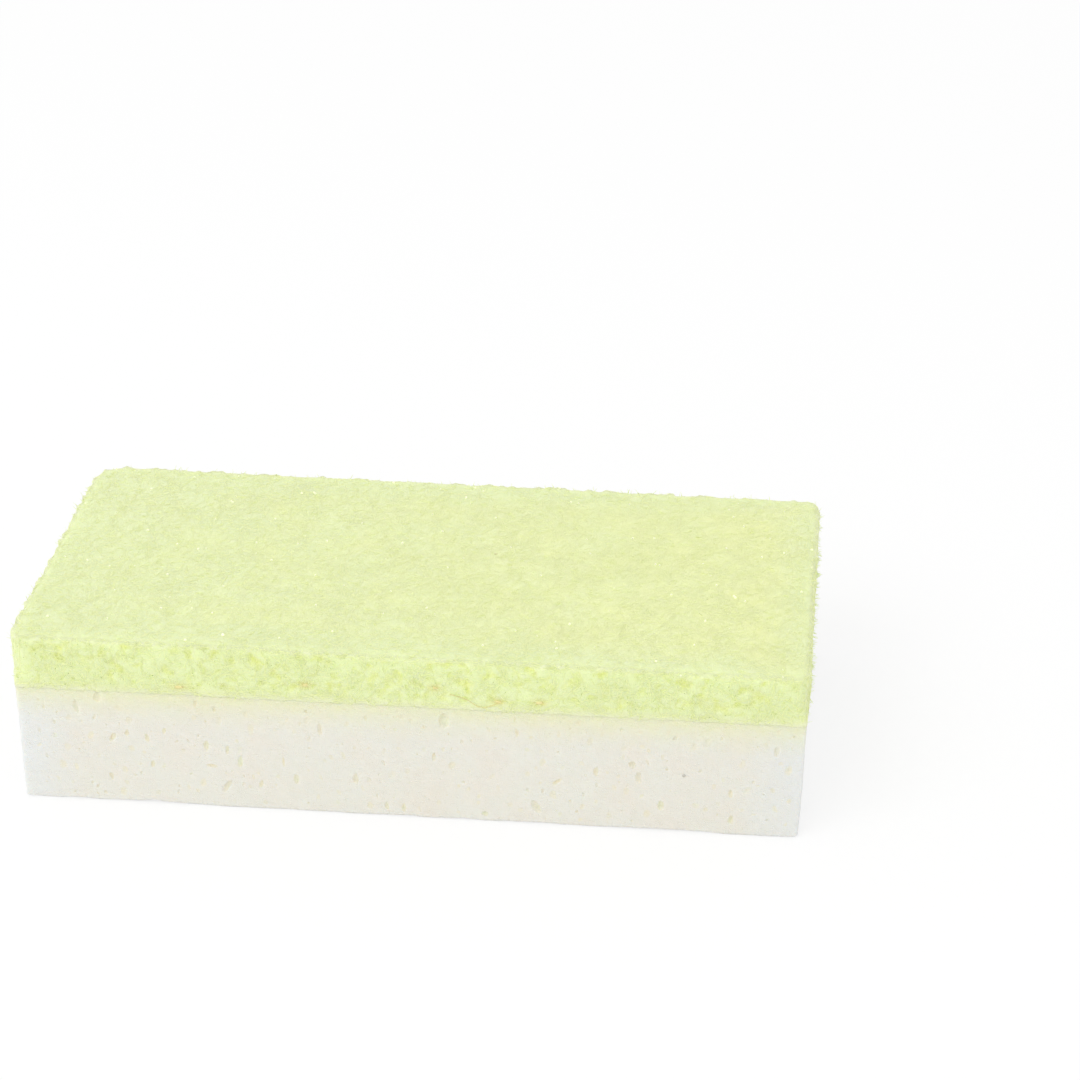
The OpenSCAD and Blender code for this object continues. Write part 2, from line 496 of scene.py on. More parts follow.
@dataclass(frozen=True)
class FibreFinish:
    """Nylon fibre with a thin coat of binder, a little different from strand to strand.

    Its glow has the same cause as the body's.
    """

    name: str = "fibre_finish"
    pale: Colour = (247, 251, 200)
    deep: Colour = (243, 250, 188)
    patch: float = 6.0 * MM
    grain: float = 1.5 * MM
    roughness: float = 0.6
    shine: float = 0.3
    glow: float = 0.05

    def build(self) -> bpy.types.Material:
        """Makes the material.

        Returns:
            The material.
        """
        tree = Shader(self.name)
        share = tree.attribute("shade") * 0.7 + tree.noise(self.patch, 2, 0.2) * 0.6
        return tree.coloured(
            tree.mix(share.clamped(0.15, 1.0), self.pale, self.deep),
            {
                "Emission Strength": self.glow,
                "Roughness": tree.noise(self.grain, 2, 0.4) * 0.2 + (self.roughness - 0.1),
                "Specular IOR Level": self.shine,
            },
        )


@dataclass(frozen=True)
class GrainFinish:
    """A small solid bit: a bead of binder, a spot of cured adhesive or a speck of dirt.

    The glint stands for the lamp's light that a clear bead gathers.
    """

    name: str
    light: Colour
    dark: Colour
    roughness: float
    coat: float = 0.0
    glint: float = 0.0
    coat_roughness: float = 0.15
    patch: float = 0.6 * MM
    dent: float = 0.25 * MM
    relief: float = 0.05 * MM

    def build(self) -> bpy.types.Material:
        """Makes the material.

        Returns:
            The material.
        """
        tree = Shader(self.name)
        return tree.coloured(
            tree.mix(tree.noise(self.patch, 3, 0.6), self.light, self.dark),
            {
                "Roughness": self.roughness,
                "Coat Weight": self.coat,
                "Coat Roughness": self.coat_roughness,
                "Emission Strength": self.glint,
                "Normal": tree.bump(tree.noise(self.dent, 3, 0.8), self.relief, 0.5),
            },
        )


@dataclass(frozen=True)
class FloorFinish:
    """A white studio floor that is plain white to the camera and still takes the soft shadow."""

    colour: float = 0.97
    kept_shadow: float = 0.3

    def build(self) -> bpy.types.Material:
        """Makes the material.

        Returns:
            The material.
        """
        tree = Shader("floor_finish")
        seen = tree.node("ShaderNodeLightPath", output="Is Camera Ray")
        mirrored = tree.other(seen, "Is Glossy Ray")
        through = tree.other(seen, "Is Transmission Ray")
        plain = tree.node("ShaderNodeBsdfDiffuse", {}, {"Color": (self.colour,) * 3 + (1.0,)})
        white = tree.node("ShaderNodeEmission", {}, {"Color": WHITE, "Strength": 1.0})
        share = (seen + mirrored + through) * (1 - self.kept_shadow)
        return tree.finish(tree.node("ShaderNodeMixShader", {}, {0: share, 1: plain, 2: white}))


class Maker(Tree):
    """A Geometry Nodes tree with named sizes, which turns one mesh into another."""

    def __init__(self, name: str, sizes: Mapping[str, float | int]) -> None:
        """Starts a tree with one input for each size.

        Args:
            name: The tree's name.
            sizes: The value of each named input.
        """
        self.group = bpy.data.node_groups.new(name, "GeometryNodeTree")
        super().__init__(self.group)
        self.values = {}
        face = self.group.interface
        face.new_socket("Geometry", in_out="INPUT", socket_type="NodeSocketGeometry")
        face.new_socket("Geometry", in_out="OUTPUT", socket_type="NodeSocketGeometry")
        for label, value in sizes.items():
            kind = "NodeSocketInt" if isinstance(value, int) else "NodeSocketFloat"
            item = face.new_socket(label, in_out="INPUT", socket_type=kind)
            self.values[item.identifier] = value
        self.start = self.node("NodeGroupInput", output="Geometry")

    def size(self, label: str) -> Socket:
        """The input with this name."""
        return self.other(self.start, label)

    def place(self) -> Socket:
        """Where each point is."""
        return self.node("GeometryNodeInputPosition")

    def normal(self) -> Socket:
        """The direction that the skin looks in at each point."""
        return self.node("GeometryNodeInputNormal")

    def upright(self, vector: Socket) -> Socket:
        """How far a vector goes up."""
        return self.node("ShaderNodeSeparateXYZ", {}, {0: vector}, output="Z")

    def noise(self, size: object, seed: object, detail: float = 1.0) -> Socket:
        """Noise from about 0 to 1 that changes over a size."""
        values = {"Vector": self.place(), "W": seed, "Scale": 1.0 / size, "Detail": detail}
        return self.node("ShaderNodeTexNoise", {"noise_dimensions": "4D"}, values)

    def drift(self, size: float, detail: float, seed: Socket | None = None) -> Socket:
        """A smooth random vector at each point, from about -0.5 to 0.5 each way.

        Args:
            size: Distance over which it changes.
            detail: How many finer layers it has.
            seed: Which vectors, where strands differ from each other.

        Returns:
            The vector.
        """
        values = {"Vector": self.place(), "Scale": 1.0 / size, "Detail": detail}
        if seed is not None:
            values["W"] = seed
        kind = "3D" if seed is None else "4D"
        colour = self.node("ShaderNodeTexNoise", {"noise_dimensions": kind}, values, output="Color")
        return self.vector("SUBTRACT", colour, HALF_EACH_WAY)

    def random(self, low: object, high: object, further: int = 0) -> Socket:
        """A random value between two for each point or instance.

        Args:
            low: The least value.
            high: The most.
            further: What is added to the tree's seed.

        Returns:
            The value.
        """
        values = {"Min": low, "Max": high, "Seed": self.size("Seed") + further}
        return self.node("FunctionNodeRandomValue", {"data_type": "FLOAT"}, values, output=1)

    def random_turn(self, low: Sequence[float], high: Sequence[float]) -> Socket:
        """A random turn about the three axes, between two."""
        values = {0: low, 1: high, "Seed": self.size("Seed")}
        return self.node("FunctionNodeRandomValue", {"data_type": "FLOAT_VECTOR"}, values)

    def turned(self, rotation: Socket, further: Socket) -> Socket:
        """A rotation followed by another one in its own axes."""
        values = {0: rotation, 1: further}
        return self.node("FunctionNodeRotateRotation", {"rotation_space": "LOCAL"}, values)

    def moved(self, geometry: Socket, offset: Socket) -> Socket:
        """The geometry with each point moved by an offset."""
        return self.node("GeometryNodeSetPosition", {}, {0: geometry, "Offset": offset})

    def stored(self, geometry: Socket, name: str, value: Socket, domain: str = "POINT") -> Socket:
        """The geometry with a value kept on it as an attribute."""
        settings = {"data_type": "FLOAT", "domain": domain}
        values = {0: geometry, "Name": name, "Value": value}
        return self.node("GeometryNodeStoreNamedAttribute", settings, values)

    def strewn(self, share: Socket) -> Socket:
        """Points strewn over the mesh at the tree's density, by a share of it."""
        values = {"Mesh": self.start, "Density": self.size("Density") * share, "Seed": self.size("Seed")}
        return self.node("GeometryNodeDistributePointsOnFaces", {}, values)

    def copies(self, points: Socket, thing: Socket, rotation: Socket, scale: Socket) -> Socket:
        """One copy of a thing on each point."""
        values = {"Points": points, "Instance": thing, "Rotation": rotation, "Scale": scale}
        return self.node("GeometryNodeInstanceOnPoints", {}, values)

    def shaded(self, copies: Socket) -> Socket:
        """Copies made real, each with a shade of its own from 0 to 1."""
        marked = self.stored(copies, "shade", self.random(0.0, 1.0, 2), "INSTANCE")
        return self.node("GeometryNodeRealizeInstances", {}, {0: marked})

    def finish(self, geometry: Socket, material: bpy.types.Material) -> None:
        """Ends the tree: the geometry becomes smooth and real and takes its material.

        Args:
            geometry: What the tree makes.
            material: Its finish.
        """
        smooth = self.node("GeometryNodeSetShadeSmooth", {}, {0: geometry})
        real = self.node("GeometryNodeRealizeInstances", {}, {0: smooth})
        dressed = self.node("GeometryNodeSetMaterial", {}, {0: real, "Material": material})
        self.node("NodeGroupOutput", {}, {0: dressed})

    def made_from(self, mesh: bpy.types.Mesh, name: str) -> bpy.types.Object:
        """Runs the tree on a mesh.

        Args:
            mesh: What the tree starts from.
            name: The new piece's name.

        Returns:
            The piece, as a plain mesh with no modifier.
        """
        source = placed(mesh, name + ".source")
        modifier = source.modifiers.new("make", "NODES")
        modifier.node_group = self.group
        for identifier, value in self.values.items():
            modifier[identifier] = value
        return made_plain(source, name)


def placed(data: bpy.types.Mesh | bpy.types.Curve, name: str) -> bpy.types.Object:
    """Puts a mesh or a curve in the scene, at the origin.

    Args:
        data: The mesh or curve.
        name: The object's name.

    Returns:
        The object.
    """
    data.name = name
    piece = bpy.data.objects.new(name, data)
    bpy.context.scene.collection.objects.link(piece)
    return piece


def made_plain(source: bpy.types.Object, name: str) -> bpy.types.Object:
    """Turns an object into a plain mesh, with its modifiers applied, and removes the object.

    Args:
        source: The object.
        name: The new piece's name.

    Returns:
        The piece.
    """
    ready = source.evaluated_get(bpy.context.evaluated_depsgraph_get())
    mesh = bpy.data.meshes.new_from_object(ready)
    bpy.data.objects.remove(source)
    return placed(mesh, name)


def triangles_of(mesh: bpy.types.Mesh) -> int:
    """How many triangles a mesh has."""
    return sum(len(face.vertices) - 2 for face in mesh.polygons)


@dataclass(frozen=True)
class PhotoView:
    """The camera that took the photograph, from a fit of its corners, in the part's own frame."""

    place: tuple[float, float, float] = (0.0768, -0.4937, 0.3096)
    down: float = math.radians(28.247)
    aside: float = math.radians(-6.380)
    roll: float = math.radians(0.417)
    lens: float = 96.68
    sensor: float = 36.0
    pixels: int = 1080

    def axes(self) -> Matrix:
        """The camera's own axes.

        Returns:
            A matrix with the axes as columns: right, up and back.
        """
        ahead = Vector(
            (
                math.sin(self.aside) * math.cos(self.down),
                math.cos(self.aside) * math.cos(self.down),
                -math.sin(self.down),
            )
        )
        right = Vector((math.cos(self.aside), -math.sin(self.aside), 0.0))
        below = ahead.cross(right)
        turned = right * math.cos(self.roll) + below * math.sin(self.roll)
        under = below * math.cos(self.roll) - right * math.sin(self.roll)
        return Matrix((turned, -under, -ahead)).transposed()

    def sight(self, pixel: tuple[float, float]) -> Vector:
        """The direction from the camera through a pixel.

        Args:
            pixel: The pixel, from the top left corner.

        Returns:
            The direction, of length 1.
        """
        reach = self.lens / self.sensor * self.pixels
        middle = self.pixels / 2
        return (self.axes() @ Vector((pixel[0] - middle, middle - pixel[1], -reach))).normalized()

    def on_front(self, pixel: tuple[float, float], front: float) -> tuple[float, float]:
        """The place on the front face that a pixel of the photograph shows.

        Args:
            pixel: The pixel, from the top left corner.
            front: The front face's place along Y.

        Returns:
            The place along X and the height.
        """
        ray = self.sight(pixel)
        far = (front - self.place[1]) / ray.y
        return self.place[0] + ray.x * far, self.place[2] + ray.z * far

    def build(self) -> None:
        """Makes the scene's camera."""
        data = bpy.data.cameras.new("photo_camera")
        data.lens = self.lens
        data.sensor_width = self.sensor
        data.clip_start = 10 * MM
        data.clip_end = 10.0
        camera = bpy.data.objects.new("photo_camera", data)
        camera.matrix_world = Matrix.Translation(self.place) @ self.axes().to_4x4()
        bpy.context.scene.collection.objects.link(camera)
        bpy.context.scene.camera = camera


class Side(Enum):
    """The five cut faces of the block, each by its direction along and its direction up."""

    FRONT = ((1, 0, 0), (0, 0, 1))
    RIGHT = ((0, 1, 0), (0, 0, 1))
    BACK = ((-1, 0, 0), (0, 0, 1))
    LEFT = ((0, -1, 0), (0, 0, 1))
    UNDER = ((1, 0, 0), (0, -1, 0))

    def along(self) -> np.ndarray:
        """The direction in which the face's first coordinate grows."""
        return np.array(self.value[0], float)

    def up(self) -> np.ndarray:
        """The direction in which the face's second coordinate grows."""
        return np.array(self.value[1], float)

    def out(self) -> np.ndarray:
        """The direction that the face looks in."""
        return np.cross(self.along(), self.up())


@dataclass(frozen=True)
class Pocket:
    """One open cell of a cut face.

    Attributes:
        x: Its middle along the face, from the face's middle.
        y: Its middle up the face, from the face's middle.
        width: Its width.
        height: Its height.
        tilt: How far it leans, in radians.
        depth: Its depth.
        tone: How much of the cells' warm painted shade it has.
    """

    x: float
    y: float
    width: float
    height: float
    tilt: float
    depth: float
    tone: float

    def reach(self) -> float:
        """Half of its longer measure."""
        return max(self.width, self.height) / 2

    def ring(self, share: float, count: int, wobble: np.ndarray) -> np.ndarray:
        """Points round the pocket.

        Args:
            share: The share of its size at which they lie.
            count: How many there are.
            wobble: How oval and how three-cornered it is, each followed by its angle.

        Returns:
            The points, in the face's plane.
        """
        angle = np.arange(count) / count * FULL_TURN
        oval = wobble[0] * np.cos(2 * angle + wobble[1])
        uneven = 1 + oval + wobble[2] * np.cos(3 * angle + wobble[3])
        a = share * self.width / 2 * uneven * np.cos(angle)
        b = share * self.height / 2 * uneven * np.sin(angle)
        cos, sin = math.cos(self.tilt), math.sin(self.tilt)
        return np.stack([self.x + a * cos + b * sin, self.y - a * sin + b * cos], axis=1)


@dataclass(frozen=True)
class PocketKind:
    """A size class of open cells, for the scatter over a face.

    Attributes:
        per_mm2: How many there are on a square millimetre.
        width: Least and most width.
        stretch: Least and most height, as a share of the width.
        depth: Depth as a share of the width.
        rings: Share of the size and number of points of each ring, from outside in.
        tone: Least and most of the cells' warm painted shade.
    """

    per_mm2: float
    width: tuple[float, float]
    stretch: tuple[float, float]
    depth: float
    rings: tuple[tuple[float, int], ...]
    tone: tuple[float, float]


LARGE_CELLS = PocketKind(
    0.0085,
    (0.9 * MM, 1.7 * MM),
    (1.3, 2.6),
    0.28,
    ((1.14, 14), (1.0, 16), (0.92, 16), (0.76, 14), (0.48, 9), (0.0, 1)),
    (0.35, 0.65),
)
SOFT_CELLS = PocketKind(
    0.06,
    (0.8 * MM, 1.7 * MM),
    (0.9, 1.9),
    0.12,
    ((1.3, 10), (1.0, 12), (0.7, 9), (0.35, 6), (0.0, 1)),
    (0.25, 0.55),
)
SMALL_CELLS = PocketKind(
    0.05,
    (0.4 * MM, 0.8 * MM),
    (0.9, 1.9),
    0.28,
    ((1.0, 9), (0.85, 9), (0.5, 5), (0.0, 1)),
    (0.2, 0.45),
)
PINHOLES = PocketKind(
    0.22,
    (0.18 * MM, 0.42 * MM),
    (0.8, 1.5),
    0.3,
    ((1.0, 6), (0.7, 4)),
    (0.05, 0.25),
)
UNDER_CELLS = (
    replace(SOFT_CELLS, per_mm2=0.012, stretch=(0.8, 1.3)),
    replace(SMALL_CELLS, per_mm2=0.02, stretch=(0.8, 1.3)),
    replace(PINHOLES, per_mm2=0.10, stretch=(0.8, 1.3)),
)
CUT_FACE = (LARGE_CELLS, SOFT_CELLS, SMALL_CELLS, PINHOLES)
SIDE_KINDS = {side: UNDER_CELLS if side is Side.UNDER else CUT_FACE for side in Side}


@dataclass(frozen=True)
class SeenCell:
    """An open cell that the photograph shows, by its pixel and its real size."""

    pixel: tuple[float, float]
    width: float
    height: float
    tilt: float = 0.0
    # How much of the cells' warm painted shade it gets.
    tone: float = 0.75


SEEN_CELLS = (
    SeenCell((207, 746), 1.2 * MM, 2.6 * MM),
    SeenCell((228, 750), 0.9 * MM, 2.0 * MM, 0.1),
    SeenCell((213, 766), 2.3 * MM, 0.9 * MM, 0.1),
    SeenCell((241, 762), 1.1 * MM, 2.9 * MM),
    SeenCell((284, 762), 0.6 * MM, 2.3 * MM),
    SeenCell((297, 779), 1.1 * MM, 2.5 * MM),
    SeenCell((262, 784), 0.9 * MM, 1.9 * MM, 0.3),
    SeenCell((154, 764), 0.9 * MM, 1.7 * MM),
    SeenCell((148, 738), 1.0 * MM, 2.2 * MM),
    SeenCell((128, 733), 0.9 * MM, 1.8 * MM),
    SeenCell((114, 737), 1.3 * MM, 2.2 * MM, 0.5),
    SeenCell((165, 731), 0.8 * MM, 1.7 * MM, 0.2),
    SeenCell((98, 697), 1.6 * MM, 2.6 * MM, 0.0, 0.6),
    SeenCell((196, 704), 0.9 * MM, 2.0 * MM, 0.1, 0.6),
    SeenCell((320, 730), 1.0 * MM, 3.6 * MM, 0.0, 0.55),
    SeenCell((356, 779), 1.3 * MM, 2.6 * MM, 0.0, 0.6),
    SeenCell((387, 806), 0.9 * MM, 2.2 * MM),
    SeenCell((404, 808), 1.0 * MM, 2.3 * MM),
    SeenCell((444, 721), 2.2 * MM, 3.6 * MM, 0.15, 0.6),
    SeenCell((434, 757), 0.9 * MM, 1.9 * MM),
    SeenCell((517, 733), 0.9 * MM, 2.0 * MM),
    SeenCell((486, 814), 1.5 * MM, 1.2 * MM),
    SeenCell((558, 782), 0.9 * MM, 2.6 * MM, 0.9, 0.9),
    SeenCell((597, 772), 1.1 * MM, 2.2 * MM),
    SeenCell((640, 778), 1.3 * MM, 3.0 * MM, 0.0, 0.45),
    SeenCell((663, 806), 1.4 * MM, 2.4 * MM),
    SeenCell((734, 820), 1.1 * MM, 2.4 * MM),
    SeenCell((733, 794), 0.9 * MM, 2.2 * MM),
    SeenCell((778, 752), 1.1 * MM, 2.4 * MM, 0.0, 0.4),
)


@dataclass
class FoamBlock:
    """The foam: a block with rounded foot and corners, and every open cell a pocket in its skin.

    Each wave of the cut has a height, a length and a seed.
    """

    view: PhotoView
    lean_right: float = 0.9 * MM
    lean_back: float = 0.5 * MM
    proud_left: float = 0.3 * MM
    edge_radius: float = 0.8 * MM
    foot_radius: float = 0.5 * MM
    rounding: tuple[float, ...] = (0.0, 0.15, 0.35, 0.6, 0.85, 1.1)
    border_step: float = 0.8 * MM
    fill_step: float = 0.95 * MM
    under_step: float = 1.9 * MM
    step_jitter: float = 0.7
    even_border: float = 1.2
    cell_margin: float = 0.1 * MM
    cell_room: float = 1.2
    cell_spacing: float = 1.15
    cell_pitch: float = 4.0 * MM
    cell_lean: float = 1.1
    cell_sink: float = 1.25
    pinhole_width: float = 0.5 * MM
    pinhole_margin: float = 0.4
    oval_large: float = 0.14
    oval_small: float = 0.2
    three_cornered: float = 0.1
    bowl: float = 0.7
    bowl_shade: float = 1.3
    beside_seen: float = 0.2
    waves: tuple[tuple[float, float, int], ...] = (
        (0.10 * MM, 11.0 * MM, 3),
        (0.05 * MM, 2.6 * MM, 5),
        (0.04 * MM, 0.9 * MM, 8),
    )
    still_at_bond: float = 1.0 * MM
    foot_reach: float = 3.0 * MM
    foot_lift: tuple[float, float, int] = (0.25 * MM, 5.0 * MM, 21)
    foot_lift_reach: float = 6.0 * MM
    notch_x: float = -50.0 * MM
    notch_width: float = 3.4 * MM
    notch_height: float = 0.45 * MM
    notch_reach: float = 4.0 * MM
    merged: float = 0.002 * MM
    sharp_angle: float = math.radians(34)
    seed: int = 12
    low: Vector = field(init=False)
    high: Vector = field(init=False)

    def __post_init__(self) -> None:
        """Reads the block's corners from the frame."""
        self.low, self.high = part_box("foam_block")

    def span(self, direction: np.ndarray) -> float:
        """The block's size along one of its directions."""
        return float(abs(direction @ np.array(self.high - self.low)))

    def lines(self, length: float, step: float, rounded_high: bool) -> np.ndarray:
        """Places of grid lines along a face, close together where the block is rounded.

        Args:
            length: The face's length.
            step: The distance between two lines elsewhere.
            rounded_high: Whether the far end is rounded too.

        Returns:
            The places, from the face's middle.
        """
        start = self.edge_radius * np.array(self.rounding)
        end = start if rounded_high else start[:1]
        count = max(2, round((length - start[-1] - end[-1]) / step))
        middle = np.linspace(start[-1], length - end[-1], count + 1)
        return np.concatenate([start[:-1], middle, (length - end[:-1])[::-1]]) - length / 2

    def seen_pockets(self) -> list[Pocket]:
        """The cells that the photograph shows, on the front face.

        Returns:
            The cells.
        """
        found = []
        for cell in SEEN_CELLS:
            x, z = self.view.on_front(cell.pixel, self.low.y)
            y = z - (self.high.z + self.low.z) / 2
            depth = LARGE_CELLS.depth * min(cell.width, cell.height)
            found.append(Pocket(x, y, cell.width, cell.height, cell.tilt, depth, cell.tone))
        return found

    def drawn(self, side: Side, kind: PocketKind, values: np.ndarray) -> Pocket:
        """One cell of a size class, at a random place of a face.

        Args:
            side: The face.
            kind: The size class.
            values: Six random values from 0 to 1.

        Returns:
            The cell.
        """
        across, up, wide, long, lean, tone = values
        width = kind.width[0] + (kind.width[1] - kind.width[0]) * wide**2
        height = width * (kind.stretch[0] + (kind.stretch[1] - kind.stretch[0]) * long)
        margin = self.edge_radius * (self.pinhole_margin if kind.width[1] < self.pinhole_width else 1.0)
        margin += height / 2
        x = (across - 0.5) * (self.span(side.along()) - 2 * margin)
        share = up**self.cell_sink if side.up()[2] else up
        y = (share - 0.5) * (self.span(side.up()) - 2 * margin)
        tilt = (lean - 0.5) * self.cell_lean
        shown = kind.tone[0] + (kind.tone[1] - kind.tone[0]) * tone
        return Pocket(x, y, width, height, tilt, kind.depth * width, shown)

    def scatter(
        self, side: Side, kinds: Sequence[PocketKind], first: Iterable[Pocket], draw: np.random.Generator
    ) -> list[tuple[Pocket, PocketKind]]:
        """Scatters open cells over a face, none on another.

        Args:
            side: The face.
            kinds: The size classes, from the largest.
            first: Cells that have their places already.
            draw: The source of the scatter.

        Returns:
            Each cell with its size class.
        """
        taken: dict[tuple[int, int], list[tuple[float, float, float]]] = {}
        found: list[tuple[Pocket, PocketKind]] = []

        def free(pocket: Pocket) -> bool:
            """Takes a pocket's place if it is free.

            Args:
                pocket: The pocket.

            Returns:
                Whether it was free.
            """
            reach = pocket.reach() * self.cell_spacing
            key = (math.floor(pocket.x / self.cell_pitch), math.floor(pocket.y / self.cell_pitch))
            near = itertools.product(range(key[0] - 1, key[0] + 2), range(key[1] - 1, key[1] + 2))
            others = itertools.chain.from_iterable(taken.get(place, ()) for place in near)
            if any(math.hypot(pocket.x - x, pocket.y - y) < reach + r for x, y, r in others):
                return False
            taken.setdefault(key, []).append((pocket.x, pocket.y, reach))
            return True

        for pocket in first:
            free(pocket)
            found.append((pocket, LARGE_CELLS))
        area = self.span(side.along()) * self.span(side.up())
        for kind in kinds:
            count = round(kind.per_mm2 * area / MM**2)
            if kind is LARGE_CELLS and found:
                count = round(count * self.beside_seen)
            for values in draw.random((count, 6)):
                pocket = self.drawn(side, kind, values)
                if free(pocket):
                    found.append((pocket, kind))
        return found

    def plain_points(
        self, side: Side, step: float, pockets: Sequence[Pocket], draw: np.random.Generator
    ) -> list[np.ndarray]:
        """The points of a face's skin between its cells.

        Args:
            side: The face.
            step: Distance between two points.
            pockets: The face's cells.
            draw: The source of the unevenness.

        Returns:
            The points on the face's border and those inside it, in the face's plane.
        """
        wide, tall = self.span(side.along()), self.span(side.up())
        flat = side is Side.UNDER
        xs = self.lines(wide, self.border_step, True)
        ys = self.lines(tall, self.border_step, flat)
        border = [(x, y) for x in xs for y in (-tall / 2, tall / 2)]
        border += [(x, y) for y in ys[1:-1] for x in (-wide / 2, wide / 2)]
        inner_xs, inner_ys = self.lines(wide, step, True)[1:-1], self.lines(tall, step, flat)[1:-1]
        grid = np.stack(np.meshgrid(inner_xs, inner_ys), axis=-1).reshape(-1, 2)
        from_border = np.minimum(wide / 2 - abs(grid[:, 0]), tall / 2 - abs(grid[:, 1]))
        uneven = from_border > self.even_border * self.edge_radius
        grid += (draw.random(grid.shape) - 0.5) * step * self.step_jitter * uneven[:, None]
        clear = np.ones(len(grid), bool)
        for pocket in pockets:
            reach = pocket.reach() * self.cell_room + self.cell_margin
            clear &= (abs(grid[:, 0] - pocket.x) > reach) | (abs(grid[:, 1] - pocket.y) > reach)
        return [np.array(border), grid[clear]]

    def face_points(
        self, side: Side, step: float, found: Sequence[tuple[Pocket, PocketKind]], draw: np.random.Generator
    ) -> tuple[np.ndarray, np.ndarray, np.ndarray]:
        """All points of a face's skin, in the face's plane.

        Args:
            side: The face.
            step: Distance between two points where there is no cell.
            found: The face's cells.
            draw: The source of the unevenness.

        Returns:
            The points, the depth of each and its share of the cells' warm painted shade.
        """
        points = self.plain_points(side, step, [pocket for pocket, _ in found], draw)
        depths = [np.zeros(len(p)) for p in points]
        pit_shades = [np.zeros(len(p)) for p in points]
        limit = np.array([self.span(side.along()), self.span(side.up())]) / 2 - self.cell_margin
        for pocket, kind in found:
            oval = self.oval_large if kind is LARGE_CELLS else self.oval_small
            wobble = draw.random(4) * [oval, FULL_TURN, self.three_cornered, FULL_TURN]
            for share, count in kind.rings:
                ring = np.clip(pocket.ring(share, count, wobble), -limit, limit)
                bowl = max(0.0, 1 - share * share) ** self.bowl
                points.append(ring)
                depths.append(np.full(len(ring), pocket.depth * bowl))
                # Painted shade: the deeper a ring lies in its pocket, the more of the cells' warm colour it
                # gets.
                pit_shades.append(np.full(len(ring), pocket.tone * min(1.0, self.bowl_shade * bowl)))
        return np.concatenate(points), np.concatenate(depths), np.concatenate(pit_shades)

    def in_space(self, side: Side, points: np.ndarray) -> tuple[np.ndarray, np.ndarray]:
        """Puts points of a face's plane on the rounded and leaning block.

        Args:
            side: The face.
            points: Points in the face's plane.

        Returns:
            Their places in space and the direction that the skin looks in there.
        """
        low, high = np.array(self.low), np.array(self.high)
        middle = (low + high) / 2
        box = middle + points[:, :1] * side.along() + points[:, 1:] * side.up()
        box += side.out() * self.span(side.out()) / 2
        r = np.array([self.edge_radius, self.edge_radius, self.foot_radius])
        inside = np.clip(box, low + r, high - [r[0], r[1], 0])
        out = (box - inside) / r
        out /= np.linalg.norm(out, axis=1, keepdims=True)
        place = inside + r * out
        below = 1 - (place[:, 2] - low[2]) / (high[2] - low[2])
        to_right, to_back = ((place - middle) / (high - middle))[:, :2].T
        place[:, 0] -= below * np.maximum(to_right, 0) * self.lean_right
        place[:, 0] -= np.maximum(-to_right, 0) * self.proud_left
        place[:, 1] -= below * np.maximum(to_back, 0) * self.lean_back
        return place, out

    def worn(self, places: np.ndarray, out: np.ndarray, depths: np.ndarray) -> np.ndarray:
        """Sinks the cells into a face, waves the cut and lifts the foot's edge here and there.

        Args:
            places: Places on the even block.
            out: The direction that the skin looks in at each.
            depths: How deep each lies in a cell.

        Returns:
            The places on the real block.
        """
        under_bond = np.clip((self.high.z - places[:, 2]) / self.still_at_bond, 0, 1)
        wave = sum(height * clouds(places, length, seed) for height, length, seed in self.waves)
        places = places + out * (wave * under_bond - depths)[:, None]
        foot = np.clip(1 - (places[:, 2] - self.low.z) / self.foot_reach, 0, 1)
        from_edge = np.minimum(self.high.x - abs(places[:, 0]), self.high.y - abs(places[:, 1]))
        height, length, seed = self.foot_lift
        lift = np.maximum(0, clouds(places * [1, 1, 0], length, seed)) * height
        lift *= np.clip(1 - from_edge / self.foot_lift_reach, 0, 1)
        near_front = np.clip(1 - (places[:, 1] - self.low.y) / self.notch_reach, 0, 1)
        away = (places[:, 0] - self.notch_x) / (self.notch_width / 2)
        lift += self.notch_height * np.exp(-away * away) * near_front
        places[:, 2] = np.maximum(places[:, 2] + lift * foot, self.low.z)
        return places

    def build(self) -> bpy.types.Object:
        """Makes the foam's mesh and dresses it. The hole that the five faces leave is the bond.

        Returns:
            The foam.
        """
        draw = np.random.default_rng(self.seed)
        mesh = bmesh.new()
        # The cell attribute carries the warm painted shade of the pits.
        pit_shade_layer = mesh.verts.layers.float.new("cell")
        for side in Side:
            first = self.seen_pockets() if side is Side.FRONT else ()
            found = self.scatter(side, SIDE_KINDS[side], first, draw)
            step = self.under_step if side is Side.UNDER else self.fill_step
            points, depths, pit_shades = self.face_points(side, step, found, draw)
            places = self.worn(*self.in_space(side, points), depths)
            _, _, faces, origin, _, _ = delaunay_2d_cdt([Vector(p) for p in points], [], [], 0, WELD)
            verts = []
            for sources in origin:
                vert = mesh.verts.new(places[sources[0]])
                vert[pit_shade_layer] = pit_shades[sources[0]]
                verts.append(vert)
            for face in faces:
                mesh.faces.new([verts[i] for i in face])
            LOG.info("%s: %d cells, %d points", side.name.lower(), len(found), len(points))
        bmesh.ops.remove_doubles(mesh, verts=mesh.verts[:], dist=self.merged)
        bmesh.ops.holes_fill(mesh, edges=[edge for edge in mesh.edges if edge.is_boundary], sides=0)
        bmesh.ops.recalc_face_normals(mesh, faces=mesh.faces[:])
        for face in mesh.faces:
            face.smooth = True
        for edge in mesh.edges:
            edge.smooth = edge.calc_face_angle() < self.sharp_angle
        data = bpy.data.meshes.new("foam_cut_block")
        mesh.to_mesh(data)
        mesh.free()
        data.materials.append(FoamFinish().build(self.high.z, self.high.x))
        return placed(data, "foam_cut_block")


